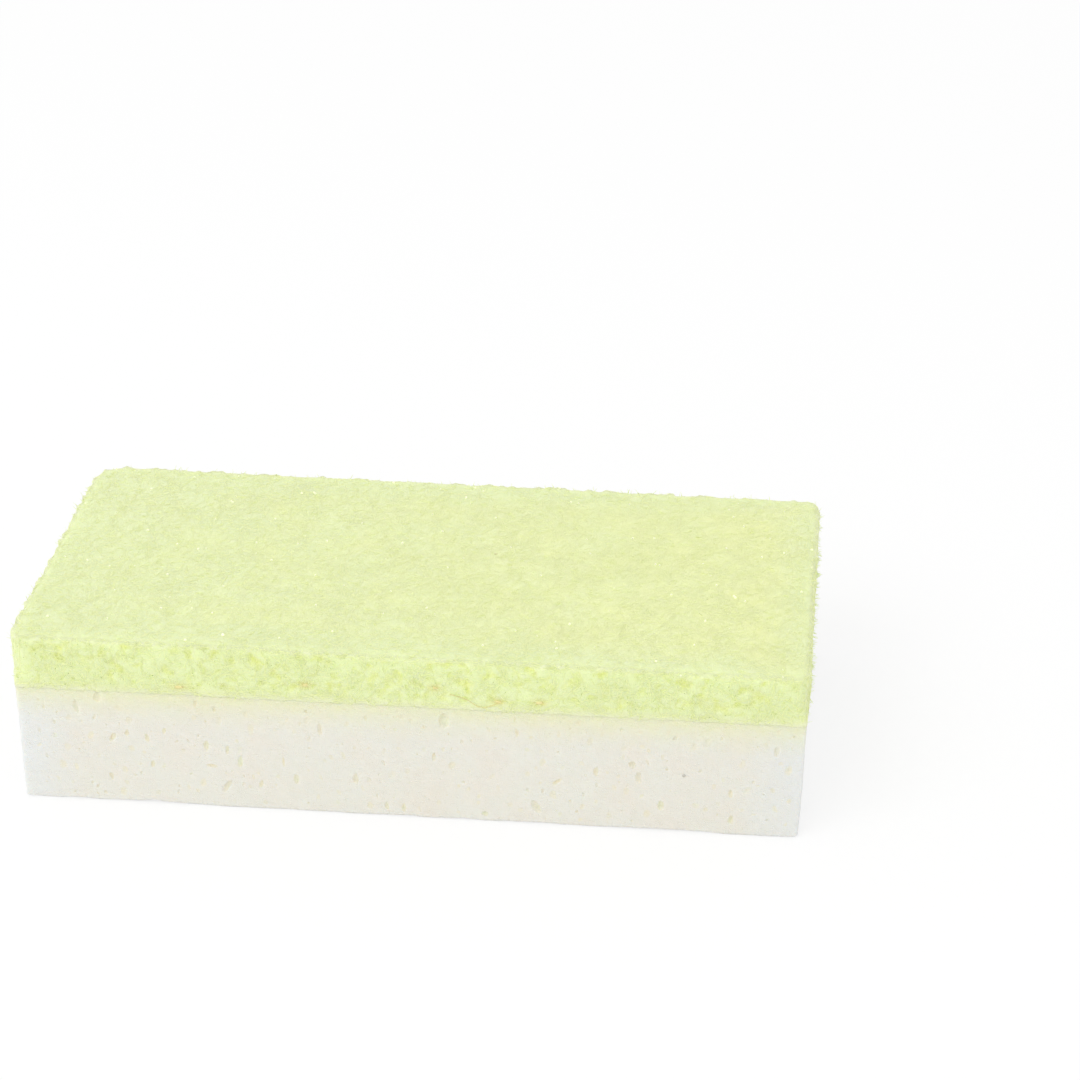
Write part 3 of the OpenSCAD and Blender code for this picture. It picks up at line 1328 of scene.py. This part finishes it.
@dataclass(frozen=True)
class FibreLayer:
    """One layer of fibres over the pad's body.

    Attributes:
        name: The piece's name.
        per_mm2: How many fibres there are on a square millimetre.
        length: A fibre's length.
        runs: How many straight runs a fibre has.
        wander: How far it strays to its sides.
        lift: How far its highest runs stand off the body.
        hug: How closely it follows the body, from 0 to 1.
        on_top: Whether the layer lies on the pad's top, or else on its cut edge.
        seed: Which scatter.
    """

    name: str
    per_mm2: float
    length: float
    runs: int
    wander: float
    lift: float
    hug: float
    on_top: bool
    seed: int


TOP_FIBRES = FibreLayer("pad_top_fibres_a", 0.36, 7.0 * MM, 6, 1.3 * MM, 0.01 * MM, 0.99, True, 40)
EDGE_FIBRES = FibreLayer("pad_edge_fibres", 1.1, 3.2 * MM, 4, 0.9 * MM, 0.05 * MM, 0.92, False, 90)
FIBRE_LAYERS = (TOP_FIBRES, replace(TOP_FIBRES, name="pad_top_fibres_b", seed=70), EDGE_FIBRES)


@dataclass
class ScouringPad:
    """The pad: a roughened body of bonded web, and the fibres that cross its top and cut edge."""

    step: float = 0.45 * MM
    rim: float = 1.2 * MM
    corner: float = 2.6 * MM
    corner_back_left: float = 5.2 * MM
    skew_left: float = 0.7 * MM
    bond_corner: float = 0.8 * MM
    proud: float = 0.2 * MM
    proud_at_bond: float = 0.15
    proud_left: float = 0.3 * MM
    full_corner: float = 1 / 3
    full_proud: float = 1 / 4
    overlap: float = 0.12 * MM
    lip: float = 0.26 * MM
    bond_wave: tuple[float, float, int] = (0.12 * MM, 1.6 * MM, 9)
    tuck: float = 0.09 * MM
    sunk: float = 0.5 * MM
    sunk_inset: float = 1.2 * MM
    thick_left: float = 0.1 * MM
    thick_right: float = -0.9 * MM
    thick_back: float = 0.7 * MM
    smooth_at_bond: float = 2.2 * MM
    seed: int = 5
    fibre: float = 0.055 * MM
    fibre_bend: float = 2.4 * MM
    fibre_wave: float = 1.8 * MM
    fibre_stretch: tuple[float, float] = (0.6, 1.4)
    tuft_bend: float = 0.6 * MM
    tuft_lean: float = 0.8
    tuft_stretch: tuple[float, float] = (0.35, 1.25)
    bead_dent: float = 1 / 1.3
    free_turn: float = 6.28
    low: Vector = field(init=False)
    high: Vector = field(init=False)

    def __post_init__(self) -> None:
        """Reads the pad's corners from the frame. The bond is where the foam ends."""
        self.low, self.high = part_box("scouring_pad")
        self.low.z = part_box("foam_block")[1].z

    def slab(self) -> bpy.types.Mesh:
        """The pad before it is roughened: an even grid over a slab with a rounded rim.

        Returns:
            The mesh, closed by a foot that is sunk in the foam.
        """
        size = np.array(self.high - self.low)
        nx, ny, nz = (max(2, round(s / self.step)) for s in size)
        loop = (
            [(i, 0) for i in range(nx)]
            + [(nx, j) for j in range(ny)]
            + [(nx - i, ny) for i in range(nx)]
            + [(0, ny - j) for j in range(ny)]
        )
        top = np.array([(i, j, nz) for j in range(ny + 1) for i in range(nx + 1)], float)
        rings = np.array([(i, j, nz - k) for k in range(1, nz + 1) for i, j in loop], float)
        grid = np.concatenate([top, rings]) / [nx, ny, nz]
        points, outward = self.shaped(grid)
        lowest = grid[:, 2] == 0
        depth, length, seed = self.bond_wave
        points[lowest, 2] -= self.overlap + depth * clouds(points[lowest], length, seed)
        lip = points[lowest]
        lip[:, :2] -= outward[lowest] * self.tuck
        lip[:, 2] -= self.lip
        under = lip.copy()
        under[:, :2] -= outward[lowest] * self.sunk_inset
        under[:, 2] = self.low.z - self.sunk
        points = np.concatenate([points, lip, under])

        def at(k: int, n: int) -> int:
            """The number of the point of ring k at a place of the loop."""
            i, j = loop[n % len(loop)]
            return i + j * (nx + 1) if k == 0 else len(top) + (k - 1) * len(loop) + n % len(loop)

        faces = [
            (a, a + 1, a + nx + 2, a + nx + 1)
            for a in (i + j * (nx + 1) for j in range(ny) for i in range(nx))
        ]
        faces += [
            (at(k + 1, n), at(k + 1, n + 1), at(k, n + 1), at(k, n))
            for k in range(nz + 2)
            for n in range(len(loop))
        ]
        faces.append(tuple(at(nz + 2, n) for n in reversed(range(len(loop)))))
        mesh = bpy.data.meshes.new("pad_slab")
        mesh.from_pydata(points.tolist(), [], faces)
        foot = [min(edge.vertices) >= at(nz + 1, 0) for edge in mesh.edges]
        mesh.attributes.new("sharp_edge", "BOOLEAN", "EDGE").data.foreach_set("value", foot)
        return mesh

    def shaped(self, grid: np.ndarray) -> tuple[np.ndarray, np.ndarray]:
        """Puts the points of an even grid on the pad: round corners and rim, uneven thickness.

        Args:
            grid: Points of a block whose three sizes are 1.

        Returns:
            The places in space and the direction outward in plan at each.
        """
        low, high = np.array(self.low), np.array(self.high)
        box = low + grid * (high - low)
        back_left = (grid[:, 0] < 0.5) & (grid[:, 1] > 0.5)
        corner = np.where(back_left, self.corner_back_left, self.corner)
        opened = np.clip(grid[:, 2] / self.full_corner, 0, 1)
        corner = self.bond_corner + (corner - self.bond_corner) * opened
        inner = np.clip(box[:, :2], low[:2] + corner[:, None], high[:2] - corner[:, None])
        from_inner = box[:, :2] - inner
        reach = np.linalg.norm(from_inner, axis=1)
        square = np.abs(from_inner).max(axis=1)
        outward = from_inner / np.maximum(reach, WELD)[:, None]
        in_rim = np.clip(1 - (corner - square) / self.rim, 0, 1)
        down_rim = np.clip(1 - (high[2] - box[:, 2]) / self.rim, 0, 1)
        length = np.maximum(np.hypot(in_rim, down_rim), WELD)
        fit = np.where((in_rim > 0) & (down_rim > 0), np.maximum(in_rim, down_rim) / length, 1.0)
        points = box.copy()
        points[:, :2] = inner + outward * (square - self.rim * in_rim * (1 - fit))[:, None]
        points[:, 2] -= self.rim * down_rim * (1 - fit)
        rise = (points[:, 2] - low[2]) / (high[2] - low[2])
        thick = self.thick_left + (self.thick_right - self.thick_left) * grid[:, 0]
        points[:, 2] += rise * (thick + self.thick_back * grid[:, 1])
        stands = self.proud * np.minimum(1, rise / self.full_proud + self.proud_at_bond)
        points[:, :2] += outward * (stands * np.clip(square / corner, 0, 1))[:, None]
        to_left = np.maximum(-points[:, 0] / high[0], 0)
        skew = self.skew_left * grid[:, 1] * np.minimum(1, rise / self.full_corner)
        points[:, 0] -= to_left * (self.proud_left - skew)
        return points, outward

    def roughener(self) -> Maker:
        """The tree that turns the slab into a lofty web with tufts, hollows and holes.

        Returns:
            The tree, which takes the slab.
        """
        tree = Maker(
            "web_roughness",
            {
                "Swell": 9.0 * MM,
                "Swell Height": 0.30 * MM,
                "Tuft": 1.9 * MM,
                "Tuft Height": 0.19 * MM,
                "Strand": 0.75 * MM,
                "Strand Height": 0.09 * MM,
                "Hole": 2.1 * MM,
                "Hole Depth": 0.38 * MM,
                "Jag": 1.5 * MM,
                "Jag Height": 0.6 * MM,
                "Bond Height": float(self.low.z),
                "Seed": self.seed,
            },
        )
        seed = tree.size("Seed")
        normal = tree.normal()
        upward = tree.upright(normal)
        edge = (1.0 - upward).clamped(0.35, 0.85)
        rim = upward.clamped(0.05, 0.5) * (1.0 - upward).clamped(0.03, 0.3)
        # Painted shade: the crest of the rim, kept as the rim attribute, is painted darker.
        crest = upward.clamped(0.3, 0.75) * (1.0 - upward).clamped(0.0, 0.09)
        swell = (tree.noise(tree.size("Swell"), seed) - 0.5) * tree.size("Swell Height") * 2.0
        tuft = (tree.noise(tree.size("Tuft"), seed + 11.0) - 0.5) * tree.size("Tuft Height") * 2.4
        strand = (tree.noise(tree.size("Strand"), seed + 23.0) - 0.5) * tree.size("Strand Height") * 2.4
        open_share = tree.noise(tree.size("Hole"), seed + 37.0, 2.0).clamped(0.52, 0.72)
        deep = edge * 0.8 + 0.2
        hole = open_share * tree.size("Hole Depth") * deep
        above = (tree.upright(tree.place()) - tree.size("Bond Height")).clamped(0.0, self.smooth_at_bond)
        jag = tree.noise(tree.size("Jag"), seed + 51.0, 0.0).clamped(0.46, 0.76)
        at_rim = (jag * tree.size("Jag Height") + tuft * 0.5) * rim
        grow = swell + (tuft + strand) * (edge * 0.25 + 0.6) + at_rim
        # Painted shade: the share of deeper yellow-green, greatest in the holes and low between the tufts.
        between_tufts = (0.42 - tuft * 900.0).clamped(0.35, 0.95)
        hollow_shade = open_share * deep + between_tufts * 0.2
        marked = tree.stored(tree.start, "rim", crest)
        moved = tree.moved(marked, tree.scaled(normal, (grow - hole) * above))
        kept = tree.stored(moved, "hollow_shade", hollow_shade * above)
        tree.finish(kept, WebFinish().build(self.low, self.high))
        return tree

    def fibre_maker(self, layer: FibreLayer, material: bpy.types.Material) -> Maker:
        """The tree that lays one layer of fibres over the body.

        Args:
            layer: The layer.
            material: Its finish.

        Returns:
            The tree, which takes the roughened body.
        """
        tree = Maker(
            layer.name,
            {
                "Density": float(round(layer.per_mm2 / MM**2)),
                "Length": layer.length,
                "Radius": self.fibre,
                "Wander": layer.wander,
                "Lift Low": -0.06 * MM,
                "Lift High": layer.lift,
                "Hug": layer.hug,
                "Seed": layer.seed,
            },
        )
        upward = tree.upright(tree.normal())
        if layer.on_top:
            chosen = upward.clamped(0.5, 0.7)
        else:
            chosen = (1.0 - upward).clamped(0.35, 0.55) * upward.clamped(-0.6, -0.5)
        points = tree.strewn(chosen)
        values = {"Axis": (0.0, 0.0, 1.0), "Angle": tree.random(0.0, FULL_TURN)}
        about = tree.node("FunctionNodeAxisAngleToRotation", {}, values)
        turned = tree.turned(tree.other(points, "Rotation"), about)
        ends = {"Start": (-0.5, 0.0, 0.0), "End": (0.5, 0.0, 0.0)}
        line = tree.node("GeometryNodeCurvePrimitiveLine", {"mode": "POINTS"}, ends)
        strand = tree.node("GeometryNodeResampleCurve", {}, {"Curve": line, "Count": layer.runs + 1})
        long = tree.random(*self.fibre_stretch, 1) * tree.size("Length")
        size = tree.node("ShaderNodeCombineXYZ", {}, {0: long, 1: 1.0, 2: 1.0})
        real = tree.shaded(tree.copies(points, strand, turned, size))
        hugged = self.laid_on_body(tree, real)
        values = {"Resolution": 3, "Radius": tree.size("Radius")}
        section = tree.node("GeometryNodeCurvePrimitiveCircle", {"mode": "RADIUS"}, values)
        values = {"Curve": hugged, "Profile Curve": section, "Fill Caps": True}
        tree.finish(tree.node("GeometryNodeCurveToMesh", {}, values), material)
        return tree

    def laid_on_body(self, tree: Maker, strands: Socket) -> Socket:
        """Bends strands and lays them along the body.

        Args:
            tree: The tree that makes them, which takes the roughened body.
            strands: The strands, each with a shade of its own.

        Returns:
            The strands where they lie.
        """
        own = tree.node("GeometryNodeInputNamedAttribute", {"data_type": "FLOAT"}, {"Name": "shade"})
        stray = tree.scaled(tree.drift(self.fibre_bend, 1.0, own * 40.0), tree.size("Wander") * 2.2)
        bent = tree.moved(strands, stray)
        nearest = tree.node(
            "GeometryNodeProximity", {"target_element": "FACES"}, {0: tree.start}, output="Position"
        )
        values = {"Mesh": tree.start, "Value": tree.normal(), "Sample Position": tree.place()}
        facing = tree.node("GeometryNodeSampleNearestSurface", {"data_type": "FLOAT_VECTOR"}, values)
        wave = tree.noise(self.fibre_wave, own * 60.0 + 5.0, 0.0).clamped(0.3, 0.7)
        lift = wave * (tree.size("Lift High") - tree.size("Lift Low")) + tree.size("Lift Low")
        hugging = tree.vector("ADD", nearest, tree.scaled(facing, lift))
        # Inputs 4 and 5 and output 1 are the node's own ones for vectors.
        values = {0: tree.size("Hug"), 4: tree.place(), 5: hugging}
        settled = tree.node("ShaderNodeMix", {"data_type": "VECTOR"}, values, output=1)
        return tree.node("GeometryNodeSetPosition", {}, {0: bent, "Position": settled})

    def tuft_maker(self, material: bpy.types.Material) -> Maker:
        """The tree that lets short ends of fibre stand out all round the rim and the edge.

        Args:
            material: Their finish.

        Returns:
            The tree, which takes the roughened body.
        """
        tree = Maker(
            "rim_tufts",
            {
                "Density": 0.9 / MM**2,
                "Radius": 0.06 * MM,
                "Length": 1.0 * MM,
                "Crook": 0.3 * MM,
                "Seed": self.seed + 9,
            },
        )
        upward = tree.upright(tree.normal())
        points = tree.strewn((1.0 - upward).clamped(0.06, 0.25) * upward.clamped(-0.3, 0.4))
        stub = tree.node(
            "GeometryNodeMeshCone",
            {"fill_type": "NGON"},
            {
                "Vertices": 5,
                "Side Segments": 3,
                "Radius Top": tree.size("Radius") * 0.25,
                "Radius Bottom": tree.size("Radius"),
                "Depth": tree.size("Length"),
            },
        )
        lean = self.tuft_lean
        leaning = tree.random_turn((-lean, -lean, 0.0), (lean, lean, self.free_turn))
        turned = tree.turned(tree.other(points, "Rotation"), leaning)
        real = tree.shaded(tree.copies(points, stub, turned, tree.random(*self.tuft_stretch, 1)))
        crook = tree.scaled(tree.drift(self.tuft_bend, 1.0), tree.size("Crook") * 2.0)
        tree.finish(tree.moved(real, crook), material)
        return tree

    def bead_maker(self, material: bpy.types.Material) -> Maker:
        """The tree that sets small beads of binder on the top.

        Args:
            material: Their finish.

        Returns:
            The tree, which takes the roughened body.
        """
        tree = Maker(
            "binder_beads",
            {
                "Density": 0.012 / MM**2,
                "Least": 0.12 * MM,
                "Most": 0.28 * MM,
                "Lift": 0.06 * MM,
                "Seed": self.seed + 3,
            },
        )
        points = tree.strewn(tree.upright(tree.normal()).clamped(0.3, 0.5))
        lift = tree.node("ShaderNodeCombineXYZ", {}, {2: tree.size("Lift")})
        ball = tree.node("GeometryNodeMeshIcoSphere", {}, {"Radius": 1.0, "Subdivisions": 2})
        dented = tree.moved(ball, tree.drift(self.bead_dent, 2.0))
        turn = tree.random_turn((0.0,) * 3, (self.free_turn,) * 3)
        size = tree.random(tree.size("Least"), tree.size("Most"))
        tree.finish(tree.copies(tree.moved(points, lift), dented, turn, size), material)
        return tree

    def build(self) -> list[bpy.types.Object]:
        """Makes the body, the fibres and the beads, and dresses them.

        Returns:
            The pieces, the body first.
        """
        body = self.roughener().made_from(self.slab(), "pad_web_body")
        fibres = FibreFinish().build()
        # Painted shade: the tufts round the rim are coloured darker than the other fibres and have no glow.
        ends = FibreFinish("shaded_rim_tuft_finish", (236, 245, 190), (231, 242, 180), glow=0.0).build()
        beads = GrainFinish("bead_finish", (253, 255, 226), (250, 254, 214), 0.3, 0.3, 0.12).build()
        makers = {layer.name: self.fibre_maker(layer, fibres) for layer in FIBRE_LAYERS}
        makers["pad_rim_tufts"] = self.tuft_maker(ends)
        makers["pad_binder_beads"] = self.bead_maker(beads)
        return [body] + [maker.made_from(body.data.copy(), name) for name, maker in makers.items()]


@dataclass(frozen=True)
class Spot:
    """A small mark that the photograph shows, by its pixel, its real size and how far it stands out."""

    pixel: tuple[float, float]
    width: float
    height: float
    thick: float = 0.1 * MM


ADHESIVE_SPOTS = (
    Spot((179, 687), 1.7 * MM, 0.7 * MM),
    Spot((305, 685), 1.1 * MM, 0.8 * MM),
    Spot((435, 688), 1.2 * MM, 0.6 * MM),
    Spot((498, 702), 1.1 * MM, 0.6 * MM),
    Spot((540, 703), 1.4 * MM, 0.7 * MM),
)
FOAM_SPECK = Spot((684, 776), 0.75 * MM, 0.6 * MM, 0.08 * MM)
PAD_SPECK = Spot((496, 554), 0.6 * MM, 0.5 * MM, 0.12 * MM)
PAD_GLINT = Spot((223, 635), 0.6 * MM, 0.8 * MM, 0.3 * MM)
BROWN_FIBRE = ((450, 694), (466, 699), (481, 707), (490, 706), (498, 703))


@dataclass
class Marks:
    """The small marks on the sponge, each set on the skin that carries it."""

    view: PhotoView
    foam: bpy.types.Object
    pad: bpy.types.Object
    unseen_spots: int = 9
    unseen_spread: float = 0.85
    unseen_low: float = 0.4 * MM
    unseen_high: float = 1.1 * MM
    uneven: float = 0.5
    uneven_size: float = 0.8
    uneven_range: float = 50.0
    level: float = 0.3
    stain_reach: float = 0.75 * MM
    fibre: float = 0.07 * MM
    seed: int = 31

    def __post_init__(self) -> None:
        """Makes a search tree of each carrier."""
        self.draw = np.random.default_rng(self.seed)
        self.skins = []
        for carrier in (self.foam, self.pad):
            mesh = carrier.data
            corners = [vert.co for vert in mesh.vertices]
            self.skins.append(BVHTree.FromPolygons(corners, [tuple(f.vertices) for f in mesh.polygons]))

    def hit(self, start: Vector, direction: Vector) -> tuple[Vector, Vector]:
        """The first place where a line meets the sponge.

        Args:
            start: Where the line starts.
            direction: The line's direction.

        Returns:
            The place and the direction that the skin looks in there.
        """
        hits = [skin.ray_cast(start, direction) for skin in self.skins]
        place, normal, _, _ = min((h for h in hits if h[0] is not None), key=lambda h: h[3])
        return place, normal

    def seen(self, pixel: tuple[float, float]) -> tuple[Vector, Vector]:
        """The place that a pixel of the photograph shows, and the direction that the skin looks in."""
        return self.hit(Vector(self.view.place), self.view.sight(pixel))

    def unseen(self) -> list[tuple[Vector, Vector]]:
        """Places just above the bond on the three sides that the photograph doesn't show.

        Returns:
            Each place and the direction that the skin looks in there.
        """
        low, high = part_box("foam_block")
        found = []
        for side, _ in zip(itertools.cycle((Side.RIGHT, Side.BACK, Side.LEFT)), range(self.unseen_spots)):
            along, out = Vector(side.along()), Vector(side.out())
            half = abs(along.dot(high - low)) / 2
            place = along * half * self.draw.uniform(-self.unseen_spread, self.unseen_spread)
            place += out * high.x * 2
            place.z = high.z + self.draw.uniform(self.unseen_low, self.unseen_high)
            found.append(self.hit(place, -out))
        return found

    def lump(self, mesh: bmesh.types.BMesh, place: Vector, normal: Vector, spot: Spot) -> None:
        """Adds one flat, uneven lump to a mesh.

        Args:
            mesh: The mesh that takes it.
            place: Its middle, on the skin.
            normal: The direction that the skin looks in.
            spot: Its size.
        """
        across = Vector((0.0, 0.0, 1.0)).cross(normal)
        across = across.normalized() if across.length > self.level else Vector((1.0, 0.0, 0.0))
        up = normal.cross(across).normalized()
        verts = bmesh.ops.create_icosphere(mesh, subdivisions=2, radius=1.0)["verts"]
        ball = np.array([vert.co for vert in verts])
        shift = self.draw.uniform(0, self.uneven_range, 3)
        ball *= (1 + self.uneven * clouds(ball + shift, self.uneven_size, self.seed))[:, None]
        for vert, share in zip(verts, ball):
            flat = across * share[0] * spot.width / 2 + up * share[1] * spot.height / 2
            vert.co = place + flat + normal * share[2] * spot.thick

    def piece(
        self, name: str, places: Sequence[tuple[Vector, Vector]], spots: Sequence[Spot], finish: GrainFinish
    ) -> bpy.types.Object:
        """Makes one piece of lumps.

        Args:
            name: The piece's name.
            places: The place and the skin's direction of each lump.
            spots: The size of each lump.
            finish: Their finish.

        Returns:
            The piece.
        """
        mesh = bmesh.new()
        for (place, normal), spot in zip(places, spots):
            self.lump(mesh, place, normal, spot)
        for face in mesh.faces:
            face.smooth = True
        data = bpy.data.meshes.new(name)
        mesh.to_mesh(data)
        mesh.free()
        data.materials.append(finish.build())
        return placed(data, name)

    def stain(self, places: Sequence[tuple[Vector, Vector]], spots: Sequence[Spot]) -> None:
        """Marks the web round each spot of adhesive as soaked.

        Args:
            places: The place and the skin's direction of each spot.
            spots: The size of each.
        """
        mesh = self.pad.data
        points = np.array([vert.co for vert in mesh.vertices])
        soaked = np.zeros(len(points))
        for (place, _), spot in zip(places, spots):
            away = points - np.array(place)
            level = np.hypot(away[:, 0], away[:, 1]) / (spot.width / 2 + self.stain_reach)
            above = away[:, 2] / (spot.height / 2 + self.stain_reach / 2)
            soaked = np.maximum(soaked, np.exp(-(level**2) - above**2))
        mesh.attributes.new("adhesive", "FLOAT", "POINT").data.foreach_set("value", soaked)

    def brown_fibre(self) -> bpy.types.Object:
        """Makes the brown fibre that lies along the pad's cut edge.

        Returns:
            The fibre.
        """
        curve = bpy.data.curves.new("brown_fibre", "CURVE")
        curve.dimensions = "3D"
        curve.bevel_depth = self.fibre
        curve.bevel_resolution = 1
        curve.resolution_u = 6
        curve.use_fill_caps = True
        run = curve.splines.new("BEZIER")
        run.bezier_points.add(len(BROWN_FIBRE) - 1)
        for point, pixel in zip(run.bezier_points, BROWN_FIBRE):
            place, normal = self.seen(pixel)
            point.co = place + normal * self.fibre * 2
            point.handle_left_type = point.handle_right_type = "AUTO"
        piece = made_plain(placed(curve, "brown_fibre.source"), "brown_fibre")
        piece.data.materials.clear()
        brown = GrainFinish("brown_finish", (234, 226, 170), (222, 211, 150), 0.6)
        piece.data.materials.append(brown.build())
        return piece

    def build(self) -> tuple[list[bpy.types.Object], list[bpy.types.Object]]:
        """Makes every mark.

        Returns:
            The marks on the foam and the marks on the pad.
        """
        glue = GrainFinish("adhesive_finish", (238, 231, 168), (230, 216, 142), 0.4, 0.2)
        places = [self.seen(spot.pixel) for spot in ADHESIVE_SPOTS] + self.unseen()
        spots = list(itertools.islice(itertools.cycle(ADHESIVE_SPOTS), len(places)))
        self.stain(places, spots)
        grit = GrainFinish("grit_finish", (204, 201, 190), (186, 182, 171), 0.8)
        dust = GrainFinish("dust_finish", (222, 221, 168), (206, 204, 150), 0.8)
        glint = GrainFinish("glint_finish", (253, 255, 232), (252, 254, 222), 0.3, 0.3, 0.2)
        on_foam = [self.piece("foam_speck", [self.seen(FOAM_SPECK.pixel)], [FOAM_SPECK], grit)]
        on_pad = [
            self.piece("adhesive_lumps", places, spots, glue),
            self.piece("pad_speck", [self.seen(PAD_SPECK.pixel)], [PAD_SPECK], dust),
            self.piece("pad_glint", [self.seen(PAD_GLINT.pixel)], [PAD_GLINT], glint),
            self.brown_fibre(),
        ]
        return on_foam, on_pad


@dataclass
class Studio:
    """A plain white floor under soft light from all round and one large lamp."""

    floor_size: float = 4.0
    floor_height: float = -0.02 * MM
    sky: float = 0.87
    lamp_size: float = 1.2
    lamp_power: float = 9.0
    lamp_place: tuple[float, float, float] = (-0.7, -1.0, 1.3)

    def build(self) -> None:
        """Makes the floor, the lamp and the world."""
        half = self.floor_size / 2
        mesh = bpy.data.meshes.new("floor")
        plan = [(-half, -half), (half, -half), (half, half), (-half, half)]
        mesh.from_pydata([(x, y, self.floor_height) for x, y in plan], [], [(0, 1, 2, 3)])
        mesh.materials.append(FloorFinish().build())
        floor = placed(mesh, "floor")
        light = bpy.data.lights.new("soft_lamp", "AREA")
        light.size = self.lamp_size
        light.energy = self.lamp_power
        lamp = bpy.data.objects.new("soft_lamp", light)
        lamp.location = self.lamp_place
        lamp.rotation_euler = (-Vector(self.lamp_place)).to_track_quat("-Z", "Y").to_euler()
        bpy.context.scene.collection.objects.link(lamp)
        world = bpy.data.worlds.new("soft_sky")
        bpy.context.scene.world = world
        world.use_nodes = True
        tree = Tree(world.node_tree)
        rays = tree.node("ShaderNodeLightPath", output="Is Camera Ray")
        glossy = tree.other(rays, "Is Glossy Ray")
        sky = tree.node("ShaderNodeBackground", {}, {"Color": WHITE, "Strength": self.sky})
        white = tree.node("ShaderNodeBackground", {}, {"Color": WHITE, "Strength": 1.0})
        mixed = tree.node("ShaderNodeMixShader", {}, {0: rays + glossy, 1: sky, 2: white})
        tree.node("ShaderNodeOutputWorld", {}, {"Surface": mixed})


def main() -> None:
    """Builds the sponge and the studio, and ties each piece to the frame."""
    logging.basicConfig(level=logging.INFO, format="%(name)s: %(message)s")
    view = PhotoView()
    view.build()
    Studio().build()
    foam = FoamBlock(view).build()
    pad = ScouringPad().build()
    on_foam, on_pad = Marks(view, foam, pad[0]).build()
    pad += on_pad
    for piece in [foam, *on_foam, *pad]:
        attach(piece, BODY)
        LOG.info("%s: %d triangles", piece.name, triangles_of(piece.data))
    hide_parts("foam_block")
    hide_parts("scouring_pad")
    bpy.context.scene.view_settings.view_transform = "Standard"


if __name__ == "__main__":
    main()
